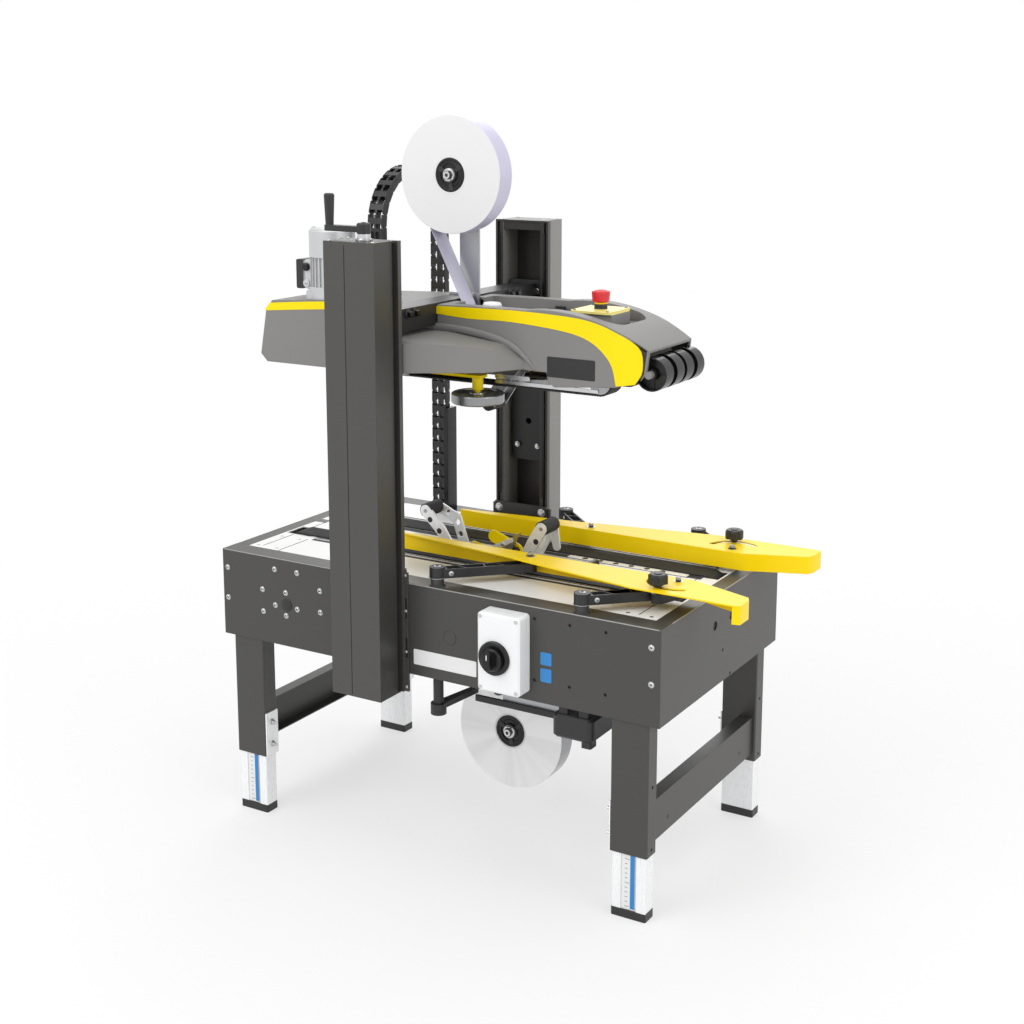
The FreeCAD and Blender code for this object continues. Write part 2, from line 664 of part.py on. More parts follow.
def ring(body, feature, axis, count):
    """Repeats a feature round an axis of the body."""
    pattern = body.newObject("PartDesign::PolarPattern", "%s_ring_%d" % (body.Name, len(body.Group)))
    pattern.Originals = [feature]
    pattern.Axis = (origin_part(body, AXES[axis]), [""])
    pattern.Angle = 360
    pattern.setExpression("Occurrences", sized(count))
    body.Tip = pattern
    return pattern


# Bed: folded panels, deck, belts and their end pulleys.
def bed_side():
    """Near side panel with folded flanges, plug hole, fixing holes and guide pivot posts."""
    body = new_body("side_sheet")
    front = minus(HALF_BED)
    lip = plus(front, "side_flange")
    folded = [
        (front, PANEL_LOW), (plus(front, "steel"), PANEL_LOW),
        (plus(front, "steel"), DECK_LOW), (lip, DECK_LOW), (lip, "deck_height"),
        (plus(front, "steel"), "deck_height", "steel"), (front, DECK_LOW),
    ]
    layer(body, "Pad", "yz", minus(HALF_LENGTH), HALF_LENGTH, folded)
    holes = []
    for x in ("hole_grid_x", "hole_grid_x + hole_grid_step", "hole_grid_x + 2*hole_grid_step"):
        for z in (plus(DECK_LOW, "- hole_grid_top"), plus(DECK_LOW, "- hole_grid_top - hole_grid_drop")):
            holes.append((x, z, "small_hole"))
    layer(body, "Pocket", "xz", front, plus(front, "2*steel"), *holes)
    reach = "(bed_length/2 - leg_inset - leg_wide - leg_play)"
    foot = box("side_foot", minus(reach), reach, front, plus(front, "foot_flange"), PANEL_LOW,
               plus(PANEL_LOW, "steel"))
    posts = []
    bores = []
    y = "(pivot_inset - bed_width/2)"
    for mark in ("a", "b"):
        x = "pivot_" + mark
        posts.append(rod("post_" + mark, "z", "hub_radius - post_step", "arm_rise - seat_gap + steel",
                         x, y, DECK_LOW))
        posts.append(rod("post_ring_" + mark, "z", "hub_radius", "2*steel", x, y, DECK_LOW))
        bores.append(rod("post_bore_" + mark, "z", "shaft_radius + seat_gap",
                         "panel_height + arm_rise + 2*steel", x, y, plus(PANEL_LOW, "-steel")))
    return cut("bed_side_near", join("side_steel", body, foot, *posts), *bores)


def bed_end(name, sign):
    """End panel with an inward top flange; sign is 1 at the infeed end."""
    side = "(bed_width/2 - steel)"
    flange = "(bed_width/2 - side_flange)"
    outer = HALF_LENGTH if sign > 0 else minus(HALF_LENGTH)
    inward = "-" if sign > 0 else "+"
    web_in = "%s %s steel" % (outer, inward)
    body = new_body(name + "_sheet")
    web = [(outer, PANEL_LOW), (web_in, PANEL_LOW), (web_in, DECK_LOW), (outer, DECK_LOW)]
    layer(body, "Pad", "xz", minus(side), side, web)
    top_in = "%s %s end_flange" % (outer, inward)
    bend = "-steel" if sign > 0 else "steel"
    top = [(outer, DECK_LOW, minus(bend)), (web_in, "deck_height"), (top_in, "deck_height"),
           (top_in, DECK_LOW)]
    layer(body, "Pad", "xz", minus(flange), flange, top)
    low, high = ("%s - 2*steel" % outer, outer) if sign > 0 else (outer, "%s + 2*steel" % outer)
    z = plus("deck_height", "-end_hole_drop")
    holes = [("end_hole_half", z, "end_hole"), ("-end_hole_half", z, "end_hole")]
    if sign > 0:
        low_z = plus("deck_height", "-end_hole_drop - hole_grid_drop/2")
        holes.append(("0", low_z, "small_hole"))
        holes.append(("end_hole_half", plus("deck_height", "-end_hole_drop - hole_grid_drop"), "small_hole"))
    layer(body, "Pocket", "yz", low, high, *holes)
    return body


def deck():
    """Deck plate with the belt openings and the tape unit opening, and the pulleys below it."""
    reach = "(bed_length/2 - end_flange)"
    side = "(bed_width/2 - side_flange)"
    body = new_body("deck_sheet")
    plate = [(minus(reach), minus(side)), (reach, minus(side)), (reach, side), (minus(reach), side)]
    layer(body, "Pad", "xy", DECK_LOW, "deck_height", plate)
    openings = [round_box("tape_slot_back", minus("tape_slot_half"), "tape_slot_front", "tape_slot_half",
                          "slot_round")]
    near = "(bed_length/2 - pulley_inset - pulley_radius - slot_play)"
    far = "(bed_length/2 - pulley_inset + pulley_radius + belt_thick + slot_play/2)"
    for y1, y2 in (("-belt_outer - slot_side", "-belt_inner + slot_side"),
                   ("belt_inner - slot_side", "belt_outer + slot_side")):
        openings.append([(near, y1), (far, y1), (far, y2), (near, y2)])
        openings.append([(minus(far), y1), (minus(near), y1), (minus(near), y2), (minus(far), y2)])
    layer(body, "Pocket", "xy", plus(DECK_LOW, "-steel"), "deck_height", *openings)
    parts = [body]
    for end, x in (("left", "-(bed_length/2 - pulley_inset)"), ("right", "(bed_length/2 - pulley_inset)")):
        parts += pulley_set("pulleys_" + end, x)
    return join("deck_plate", *parts)


def pulley_set(name, x):
    """Shaft, pulleys and hanging bracket at one end of the lower belts."""
    z = "(deck_height - pulley_radius)"
    cheek_in = "(belt_outer + slot_side + cheek)"
    cheek_out = "(belt_outer + slot_side + 2*cheek)"
    parts = [rod(name + "_shaft", "y", "axle", "2*" + cheek_out, x, minus(cheek_out), z)]
    for tag, y in (("near", "-belt_outer + belt_edge"), ("far", "belt_inner + belt_edge")):
        parts.append(rod("%s_%s" % (name, tag), "y", "pulley_radius",
                         "belt_outer - belt_inner - 2*belt_edge", x, y, z))
    low = "(deck_height - pulley_drop)"
    x1, x2 = plus(x, "-cheek_half"), plus(x, "cheek_half")
    saddle = [
        (minus(cheek_out), low), (cheek_out, low), (cheek_out, DECK_LOW), (cheek_in, DECK_LOW),
        (cheek_in, plus(low, "cheek")), (minus(cheek_in), plus(low, "cheek")),
        (minus(cheek_in), DECK_LOW), (minus(cheek_out), DECK_LOW),
    ]
    parts.append(prism(name + "_saddle", "yz", x1, x2, saddle))
    return parts


def belt(name, low, high, left, right, middle, radius):
    """A closed flat belt over two pulleys, between two distances from the middle."""
    body = new_body(name)
    outer = plus(radius, "belt_thick")
    layer(body, "Pad", "xz", low, high, ((left, middle, outer), (right, middle, outer)),
          ((left, middle, radius), (right, middle, radius)))
    return body


# Legs: a welded frame at each end and four sliding inner legs.
def leg_span(sign):
    """Start and end of the leg sleeves along the bed."""
    out = "(bed_length/2 - leg_inset)"
    if sign > 0:
        return "%s - leg_wide" % out, out
    return minus(out), "leg_wide - %s" % out


def leg_frame(name, sign):
    """Two leg sleeves with the channel between them."""
    x1, x2 = leg_span(sign)
    outer = "(bed_width/2 - steel)"
    inner = "(bed_width/2 - steel - leg_deep)"
    body = new_body(name)
    shapes = []
    for y1, y2 in ((minus(outer), minus(inner)), (inner, outer)):
        shapes.append(round_box(x1, y1, x2, y2, "leg_round"))
        shapes.append([(plus(x1, "steel"), plus(y1, "steel")), (plus(x2, "-steel"), plus(y1, "steel")),
                       (plus(x2, "-steel"), plus(y2, "-steel")), (plus(x1, "steel"), plus(y2, "-steel"))])
    layer(body, "Pad", "xy", "leg_bottom", plus(DECK_LOW, "-leg_play"), *shapes)
    web = plus(x2, "-bar_inset") if sign > 0 else plus(x1, "bar_inset")
    step = "-" if sign > 0 else "+"
    skin = "%s %s steel" % (web, step)
    edge = "%s %s bar_deep" % (web, step)
    channel = [(web, "bar_low"), (edge, "bar_low"), (edge, "bar_low + steel"), (skin, "bar_low + steel"),
               (skin, "bar_high - steel"), (edge, "bar_high - steel"), (edge, "bar_high"),
               (web, "bar_high")]
    layer(body, "Pad", "xz", minus(inner), inner, channel)
    z = "(bar_high + leg_hole_rise)"
    low, high = (plus(x2, "-2*steel"), x2) if sign > 0 else (x1, plus(x1, "2*steel"))
    middle = "(bed_width/2 - steel - leg_deep/2)"
    holes = [(y, spot, "small_hole") for y in (minus(middle), middle) for spot in (z, "leg_bottom + leg_hole_low")]
    layer(body, "Pocket", "yz", low, high, *holes)
    return body


def inner_leg(name, sign_x, sign_y):
    """Sliding inner leg with a ruler groove and a foot cap."""
    play = "(steel + seat_gap)"
    x1, x2 = leg_span(sign_x)
    x1, x2 = plus(x1, play), plus(x2, minus(play))
    outer = "(bed_width/2 - steel - %s)" % play
    inner = "(bed_width/2 - steel - leg_deep + %s)" % play
    y1, y2 = (inner, outer) if sign_y > 0 else (minus(outer), minus(inner))
    body = new_body(name)
    layer(body, "Pad", "xy", "foot_high", "inner_leg_top", round_box(x1, y1, x2, y2, "leg_round/2"))
    face, back = (outer, plus(outer, "-groove_deep")) if sign_y > 0 else (
        minus(outer), plus(minus(outer), "groove_deep"))
    middle = "((%s) + (%s))/2" % (x1, x2)
    groove = [(plus(middle, "-groove_half"), "foot_high"), (plus(middle, "groove_half"), "foot_high"),
              (plus(middle, "groove_half"), "inner_leg_top"),
              (plus(middle, "-groove_half"), "inner_leg_top")]
    low, high = (back, face) if sign_y > 0 else (face, back)
    layer(body, "Pocket", "xz", low, high, groove)
    layer(body, "Pad", "xy", "0", "foot_high",
          round_box(plus(x1, "-foot_lip"), plus(y1, "-foot_lip"), plus(x2, "foot_lip"),
                    plus(y2, "foot_lip"), "leg_round"))
    return body


# Columns: extruded channels that guide the carriages of the head.
def column():
    """Near column with its end plates, cross plates and mounting strips."""
    face = HALF_BED
    mid = "column_x"
    half = [
        ("column_mouth", "0"), ("groove_in", "0"), ("groove_in", "groove_depth"),
        ("groove_out", "groove_depth"), ("groove_out", "0"), ("flange_half", "0"),
        ("flange_half", "flange_thick"), ("column_neck", "flange_thick"),
        ("column_neck", "flange_thick + neck_high"), ("column_half", "flange_thick + neck_high"),
        ("column_half", "column_deep"),
    ]
    inner = [
        ("column_half - column_wall", "column_deep - column_wall"),
        ("column_half - column_wall", "flange_thick + neck_high + column_wall"),
        ("column_mouth", "flange_thick + neck_high + column_wall"),
    ]
    right = [(plus(mid, u), "-(%s) - (%s)" % (face, v)) for u, v in half]
    left = [(plus(mid, minus(u)), "-(%s) - (%s)" % (face, v)) for u, v in half][::-1]
    back_left = [(plus(mid, minus(u)), "-(%s) - (%s)" % (face, v)) for u, v in inner][::-1]
    back_right = [(plus(mid, u), "-(%s) - (%s)" % (face, v)) for u, v in inner]
    low = "(deck_height - column_drop)"
    high = "(deck_height + column_rise)"
    shell = prism("column_shell", "xy", low, high, right + left + back_left + back_right)
    back = "-(%s + column_deep)" % face
    x1, x2 = plus(mid, "-flange_half"), plus(mid, "flange_half")
    cap_body = new_body("column_cap")
    layer(cap_body, "Pad", "xy", high, CAP_TOP, [
        (x1, minus(face)), (x1, "-(%s + flange_thick)" % face),
        (plus(mid, "-column_half"), "-(%s + flange_thick)" % face), (plus(mid, "-column_half"), back),
        (plus(mid, "column_half"), back), (plus(mid, "column_half"), "-(%s + flange_thick)" % face),
        (x2, "-(%s + flange_thick)" % face), (x2, minus(face))])
    foot = box("column_foot", plus(mid, "-column_half"), plus(mid, "column_half"), back, minus(face),
               plus(low, "-steel"), low)
    bridge = box("column_bridge", plus(mid, "-column_mouth"), plus(mid, "column_mouth"),
                 "-(%s + flange_thick)" % face, "-(%s + steel)" % face,
                 plus(high, "-bridge_high"), high)
    plate_body = new_body("column_plate")
    top = "(deck_height + plate_high)"
    layer(plate_body, "Pad", "xz", minus(face), "-(%s - 2*steel)" % face,
          [(x1, "deck_height"), (x2, "deck_height"), (x2, top), (x1, top)])
    z = "(deck_height + plate_high/2)"
    holes = [(plus(mid, x), z, "small_hole") for x in ("steel - column_half", "column_half - steel")]
    layer(plate_body, "Pocket", "xz", minus(face), "-(%s - 3*steel)" % face, *holes)
    strips = []
    for tag, s1, s2 in (("left", plus(x1, "-strip_wide"), x1), ("right", x2, plus(x2, "strip_wide"))):
        strip = new_body("column_strip_" + tag)
        layer(strip, "Pad", "xz", "-(%s + 2*steel)" % face, minus(face),
              [(s1, low), (s2, low), (s2, "deck_height + strip_rise"), (s1, "deck_height + strip_rise")])
        slots = []
        for z in ("deck_height - slot_drop", "deck_height - slot_drop - slot_step"):
            slots.append([(plus(s1, "slot_edge"), z), (plus(s2, "-slot_edge"), z),
                          (plus(s2, "-slot_edge"), plus(z, "slot_tall")),
                          (plus(s1, "slot_edge"), plus(z, "slot_tall"))])
        layer(strip, "Pocket", "xz", "-(%s + 3*steel)" % face, minus(face), *slots)
        strips.append(strip)
    return join("column_near", shell, cap_body, foot, bridge, plate_body, *strips)


# Switch box on the near side panel.
def switch_box():
    """Housing with rounded corners, a lid seam and the ring behind the knob."""
    face = minus(HALF_BED)
    front = "(-bed_width/2 - box_deep)"
    body = new_body("switch_body")
    x1, x2 = "switch_x - box_half", "switch_x + box_half"
    layer(body, "Pad", "xz", front, face, round_box(x1, "switch_z - box_below", x2, "switch_z + box_above",
                                                    "box_round"))
    soften(body, "box_round/2", level("y", front))
    seam_low, seam_high = plus(face, "-box_seam - steel/2"), plus(face, "-box_seam")
    rim = box("switch_rim", plus(x1, "-steel"), plus(x2, "steel"), seam_low, seam_high,
              "switch_z - box_below - steel", "switch_z + box_above + steel")
    rim_in = box("switch_rim_in", plus(x1, "steel/2"), plus(x2, "-steel/2"), plus(seam_low, "-steel"),
                 plus(seam_high, "steel"), "switch_z - box_below + steel/2",
                 "switch_z + box_above - steel/2")
    seam = cut("switch_seam", rim, rim_in)
    ring = rod("switch_ring", "y", "knob_radius + box_round", "ring_thick", "knob_x",
               plus(front, "-ring_thick"), "switch_z")
    bore = rod("switch_bore", "y", "pin_radius + seat_gap", "box_deep/2 + ring_thick", "knob_x",
               plus(front, "-ring_thick"), "switch_z")
    return cut("switch_box", join("switch_solid", cut("switch_case", body, seam), ring), bore)


def switch_knob():
    """Round knob with notches and a grip bar."""
    seat = "(-bed_width/2 - box_deep - ring_thick - seat_gap)"
    body = new_body("knob_disc")
    layer(body, "Pad", "xz", plus(seat, "-knob_thick"), seat, ("knob_x", "switch_z", "knob_radius"))
    soften(body, "box_seam/5", level("y", plus(seat, "-knob_thick")))
    grip = prism("knob_grip", "xz", plus(seat, "-knob_thick - grip_tall"), plus(seat, "-knob_thick"),
                 (("knob_x", "switch_z - knob_radius/2", "grip_half"),
                  ("knob_x", "switch_z + knob_radius/2", "grip_half")))
    pin = rod("knob_pin", "y", "pin_radius", "box_deep/2", "knob_x", seat, "switch_z")
    return join("switch_knob", body, grip, pin)


def tray():
    """Closed tool tray with rounded corners and a foot, hung from the near side panel."""
    x1, x2 = "(tray_x - tray_half)", "(tray_x + tray_half)"
    near = "(-bed_width/2 + foot_flange/2)"
    far = plus(near, "tray_deep")
    top = plus(PANEL_LOW, "-tray_gap")
    low = plus(top, "-tray_high")
    body = new_body("tray_body")
    layer(body, "Pad", "xy", low, top, round_box(x1, near, x2, far, "tray_round"))
    soften(body, "tray_wall", level("z", top))
    soften(body, "tray_wall", level("z", low))
    foot = prism("tray_foot_block", "xy", plus(low, "-tray_foot"), plus(low, "tray_wall"), round_box(
        plus(x2, "-2*tray_round"), plus(near, "tray_wall"), plus(x2, "-tray_wall"),
        plus(near, "2*tray_round + tray_wall"), "tray_wall"))
    back = "(foot_flange - bed_width/2)"
    lugs = [box("tray_lug_" + tag, x, plus(x, "lug_wide"), plus(back, "-tray_wall"), back,
                plus(top, "-tray_wall"), PANEL_LOW)
            for tag, x in (("left", plus(x1, "tray_round")), ("right", plus(x2, "-tray_round - lug_wide")))]
    return join("tool_tray", body, foot, *lugs)


# Side guides: parallel arms on vertical shafts carry each guide.
ARM_LOW = "(deck_height + arm_rise)"
ARM_TOP = "(deck_height + arm_rise + arm_thick)"
GUIDE_TOP = "(deck_height + guide_rise)"
ARM_LONG = "sqrt(arm_dx^2 + arm_dy^2)"
PIVOT_Y = "(pivot_inset - bed_width/2)"


def guide_arm(name, mark, shaft_drop, extras):
    """Ribbed swing arm on the near side, drawn along +X and turned to where it is set."""
    body = new_body(name + "_arm")
    end = (ARM_LONG, "0", "boss_radius")
    layer(body, "Pad", "xy", ARM_LOW, ARM_TOP, (("0", "0", "arm_half"), end))
    layer(body, "Pad", "xy", ARM_LOW, plus(ARM_TOP, "hub_step"), ("0", "0", "hub_radius"))
    windows = []
    start = "(hub_radius + rib)"
    bay = "((%s - hub_radius - boss_radius - 2*rib)/rib_bays)" % ARM_LONG
    half = "(arm_half - rib)"
    for index in range(int(value_of("rib_bays"))):
        u1 = "%s + %d*%s" % (start, index, bay)
        u2 = "%s + %d*%s - rib" % (start, index + 1, bay)
        lean = "%s/3" % bay
        if index % 2 == 0:
            window = [(u1, minus(half)), (u2, minus(half)), (plus(u2, minus(lean)), half), (u1, half)]
        else:
            window = [(u1, minus(half)), (u2, minus(half)), (u2, half), (plus(u1, minus(lean)), half)]
        windows.append(window)
    layer(body, "Pocket", "xy", plus(ARM_TOP, "-window_deep"), ARM_TOP, *windows)
    layer(body, "Pad", "xy", ARM_LOW, plus(GUIDE_TOP, "bolt_head"), (ARM_LONG, "0", "bolt_radius"))
    shaft = prism(name + "_shaft", "xy", "deck_height - %s" % shaft_drop, ARM_TOP, ("0", "0", "shaft_radius"))
    parts = [body, shaft, *extras(name)]
    turn = math.degrees(math.atan2(value_of("arm_dy"), value_of("arm_dx")))
    for part in parts:
        part.Placement.Rotation = FreeCAD.Rotation(FreeCAD.Vector(0, 0, 1), turn)
        part.setExpression(".Placement.Rotation.Angle", sized("atan2(arm_dy; arm_dx)"))
        place(part, "pivot_" + mark, PIVOT_Y)
    return join(name, *parts)


def lever(name):
    """Hub and cross lever of the linkage below the bed."""
    low = "(deck_height - shaft_long)"
    top = plus(low, "lever_hub")
    hub = prism(name + "_collar", "xy", low, top, ("0", "0", "hub_radius"))
    tip = ("lever_long*cos(lever_turn)", "lever_long*sin(lever_turn)", "boss_radius/2")
    bar = prism(name + "_lever", "xy", plus(top, "-lever_thick"), top, (("0", "0", "shaft_radius"), tip))
    return [hub, bar]


def clamp(name):
    """Lug, stud and lobed knob that clamp the guide at its angle."""
    lug_u = "(%s - slot_radius*cos(stud_lean))" % ARM_LONG
    lug_v = "(-slot_radius*sin(stud_lean))"
    lug = new_body(name + "_lug")
    layer(lug, "Pad", "xy", ARM_LOW, ARM_TOP, ((lug_u, lug_v, "boss_radius"), (ARM_LONG, "0", "boss_radius")))
    stud = new_body(name + "_stud")
    layer(stud, "Pad", "xy", ARM_LOW, plus(GUIDE_TOP, "knob_gap + knob_tall/2"), (lug_u, lug_v, "stud_radius"))
    neck = new_body(name + "_neck")
    layer(neck, "Pad", "xy", plus(GUIDE_TOP, "seat_gap"), plus(GUIDE_TOP, "knob_gap"),
          (lug_u, lug_v, "stud_radius + knob_gap/3"))
    knob = new_body(name + "_knob")
    low = plus(GUIDE_TOP, "knob_gap")
    layer(knob, "Pad", "xy", low, plus(low, "knob_tall"), (lug_u, lug_v, "clamp_radius"))
    soften(knob, "knob_tall/5", level("z", plus(low, "knob_tall")))
    notches = []
    for number in range(int(value_of("clamp_lobes"))):
        angle = "(360*%d/clamp_lobes)" % number
        notches.append(("%s + (clamp_radius + notch_radius/2)*cos%s" % (lug_u, angle),
                        "%s + (clamp_radius + notch_radius/2)*sin%s" % (lug_v, angle), "notch_radius"))
    layer(knob, "Pocket", "xy", plus(low, "-1"), plus(low, "knob_tall"), *notches)
    return [lug, stud, neck, knob]


def guide():
    """Near guide: folded sheet with a flared and wrapped infeed end and an arc slot."""
    line = "(%s + arm_dy)" % PIVOT_Y
    face = "(%s + guide_inset)" % line
    bolt_a = "(pivot_a + arm_dx)"
    bolt_b = "(pivot_b + arm_dx)"
    tip = "(%s - flare)" % face
    top = [
        ("guide_left", face), ("guide_bend", face), ("guide_tip - tip_round", plus(tip, "tip_round")),
        ("guide_tip", plus(tip, "-tip_round"), ), ("guide_tip", plus(tip, "-tip_wide")),
        ("guide_tip - 2*tip_round", plus(tip, "-tip_wide - tip_round/2")),
        (plus(bolt_b, "slot_radius"), plus(line, "-guide_wide")),
        (plus(bolt_b, "-slot_radius - tip_round"), plus(line, "-guide_wide")),
        (plus(bolt_a, "-2*guide_narrow"), plus(line, "-guide_narrow")),
        ("guide_left", plus(face, "-guide_end")),
    ]
    body = new_body("guide_plate")
    layer(body, "Pad", "xy", plus(GUIDE_TOP, "-guide_sheet"), GUIDE_TOP, top)
    slope = "(flare/(guide_tip - guide_bend))"
    wall = [
        ("guide_left", face), ("guide_bend", face), ("guide_tip - tip_round", plus(tip, "tip_round")),
        ("guide_tip", plus(tip, "-tip_round")), ("guide_tip", plus(tip, "-tip_wide")),
        ("guide_tip - 2*tip_round", plus(tip, "-tip_wide - tip_round/2")),
        ("guide_tip - 2*tip_round", plus(tip, "-tip_wide - tip_round/2 + guide_sheet")),
        ("guide_tip - guide_sheet", plus(tip, "-tip_wide + guide_sheet/2")),
        ("guide_tip - guide_sheet", plus(tip, "-tip_round - guide_sheet/2")),
        ("guide_tip - tip_round - guide_sheet", plus(tip, "tip_round - guide_sheet")),
        ("guide_bend - guide_sheet/2", plus(face, "-guide_sheet")),
        ("guide_left", plus(face, "-guide_sheet")),
    ]
    layer(body, "Pad", "xy", plus(GUIDE_TOP, "-guide_deep"), GUIDE_TOP, wall)
    holes = [(bolt_a, line, "bolt_radius + seat_gap"), (bolt_b, line, "bolt_radius + pivot_play")]
    wide = "(slot_radius + stud_radius + pivot_play)"
    slim = "(slot_radius - stud_radius - pivot_play)"
    spots = [["%s + %s*cos(%s)" % (bolt_b, size, angle), "%s + %s*sin(%s)" % (line, size, angle)]
             for size, angle in ((wide, "slot_from"), (wide, "slot_to"), (slim, "slot_to"),
                                 (slim, "slot_from"))]
    end = "(stud_radius + pivot_play + seat_gap)"
    arc = [(*spots[0], wide), (*spots[1], end), (*spots[2], minus(slim)), (*spots[3], end)]
    layer(body, "Pocket", "xy", plus(GUIDE_TOP, "-2*guide_sheet"), GUIDE_TOP, *holes, arc)
    return body


# Tape units: side plates, roller arms, cutter, reels and their brackets.
def lower_unit():
    """Plates hung from the deck, cross bars, cutter and the bracket of the lower reel."""
    low = "(deck_height - unit_drop)"
    left, right = "(arm_left_x - unit_back)", "(arm_right_x + unit_front)"
    parts = []
    for tag, y1, y2, f1, f2 in (("near", "-unit_half", "-unit_half + steel", "-unit_flange", "-unit_half + steel"),
                                ("far", "unit_half - steel", "unit_half", "unit_half - steel", "unit_flange")):
        plate = new_body("unit_plate_" + tag)
        layer(plate, "Pad", "xz", y1, y2, [
            (plus(left, "unit_slope"), low), (plus(right, "-unit_slope"), low),
            (right, plus(low, "unit_slope")), (right, DECK_LOW), (left, DECK_LOW),
            (left, plus(low, "unit_slope"))])
        window = round_box(plus(left, "unit_slope"), plus(low, "unit_slope/2"), "-unit_slope/2",
                           plus(low, "unit_slope*1.5"), "slot_round/2")
        layer(plate, "Pocket", "xz", y1, y2, window)
        parts.append(plate)
        parts.append(box("unit_lip_" + tag, left, right, f1, f2, plus(DECK_LOW, "-steel"), DECK_LOW))
    inside = "(unit_half - steel)"
    for tag, x, z, size in (("left", "arm_left_x", "deck_height - arm_pivot_drop", "pin_radius"),
                            ("right", "arm_right_x", "deck_height - arm_pivot_drop", "pin_radius"),
                            ("low", "0", plus(low, "unit_slope"), "axle")):
        parts.append(rod("unit_bar_" + tag, "y", size, "2*" + inside, x, minus(inside), z))
    parts += cutter(inside)
    parts += lower_reel_arm(low)
    parts += reel_rail(low)
    return join("tape_head_lower", *parts)


def reel_rail(unit_low):
    """Rail and strip in front of the lower reel, with the hanger that carries them."""
    low = "(deck_height - rail_drop)"
    face, back = "-rail_out", "(2*steel - rail_out)"
    skin = plus(back, "steel")
    side = "(hanger_x + hanger_wide)"
    tie = plus(unit_low, "unit_slope")
    return [
        box("rail_bar", "rail_left", "rail_right", face, back, low, plus(low, "rail_high")),
        box("rail_strip", "hanger_x", "rail_right", back, skin, low, plus(low, "strip_high")),
        box("rail_hanger", "hanger_x", side, back, skin, low, plus(tie, "steel")),
        box("rail_tie", "hanger_x", side, back, "steel - unit_half", tie, plus(tie, "steel")),
    ]


def cutter(inside):
    """Guard plate with its hole and the blade holder that crosses it."""
    post = box("cutter_post", "cutter_x - cutter_half", "cutter_x + cutter_half", minus(inside), inside,
               "deck_height - unit_drop/2", "deck_height - arm_pivot_drop/2")
    guard = prism("cutter_guard", "xz", "cutter_y", "cutter_y + 2*steel",
                  (("cutter_x - guard_reach", "deck_height + guard_rise", "cutter_round"),
                   ("cutter_x + guard_reach", "deck_height + guard_end", "cutter_round")),
                  ("cutter_x + guard_reach", "deck_height + guard_end", "arm_hole"))
    holder = prism("cutter_holder", "xz", "cutter_y - 3*steel", "cutter_y", [
        ("cutter_x - guard_reach", "deck_height - guard_rise"),
        ("cutter_x", "deck_height - guard_rise"),
        ("cutter_x + guard_reach", "deck_height + guard_rise - steel"),
        ("cutter_x + guard_reach", "deck_height + guard_rise + steel"),
        ("cutter_x - guard_reach/3", "deck_height + guard_rise/3")])
    return [post, guard, holder]


def lower_reel_arm(low):
    """Arm and spindle that carry the lower reel."""
    y1, y2 = "(unit_half - steel/2)", "(unit_half + 2*steel)"
    arm = prism("low_reel_arm", "xz", y1, y2,
                (("low_reel_x", "low_reel_z", "reel_arm_half"),
                 ("low_reel_x - unit_slope/2", plus(low, "unit_slope*1.5"), "reel_arm_half")))
    spindle = rod("low_reel_spindle", "y", "spindle_radius", plus(y2, "tape_width/2 + spindle_out"),
                  "low_reel_x", "-tape_width/2 - spindle_out", "low_reel_z")
    return [arm, spindle]


def left_arm():
    """Infeed roller arm: two bent plates of different outline, joined by the roller and a tube."""
    pivot = ("arm_left_x", "deck_height - arm_pivot_drop", "arm_eye")
    roller = ("arm_left_x - arm_lean", "deck_height + arm_roller_rise", "tape_roller")
    near = new_body("left_near_plate")
    knee = ("arm_left_x - arm_lean/2", "(deck_height + arm_roller_rise/2)", "arm_eye")
    layer(near, "Pad", "xz", "-arm_plate_out", "-arm_plate_in", (knee, (roller[0], roller[1], "arm_eye")))
    layer(near, "Pad", "xz", "-arm_plate_out", "-arm_plate_in", (pivot, knee))
    layer(near, "Pocket", "xz", "-arm_plate_out", "-arm_plate_in",
          ("arm_left_x - 0.84*arm_lean", "deck_height + 0.75*arm_roller_rise", "arm_hole"),
          ("arm_left_x - 0.52*arm_lean", "deck_height + 0.45*arm_roller_rise", "arm_hole"))
    far = new_body("left_far_plate")
    elbow = ("arm_left_x - arm_lean/3", "(deck_height + 0.7*arm_roller_rise)", "arm_eye")
    layer(far, "Pad", "xz", "arm_plate_in", "arm_plate_out", (elbow, (roller[0], roller[1], "arm_eye")))
    layer(far, "Pad", "xz", "arm_plate_in", "arm_plate_out", (pivot, elbow))
    layer(far, "Pocket", "xz", "arm_plate_in", "arm_plate_out",
          ("arm_left_x - 0.62*arm_lean", "deck_height + 0.85*arm_roller_rise", "arm_hole"),
          ("arm_left_x - 0.3*arm_lean", "deck_height + 0.6*arm_roller_rise", "arm_hole"),
          ("arm_left_x - 0.2*arm_lean", "deck_height + 0.25*arm_roller_rise", "arm_hole"))
    return arm_parts("roller_arm_left", pivot, roller, [near, far])


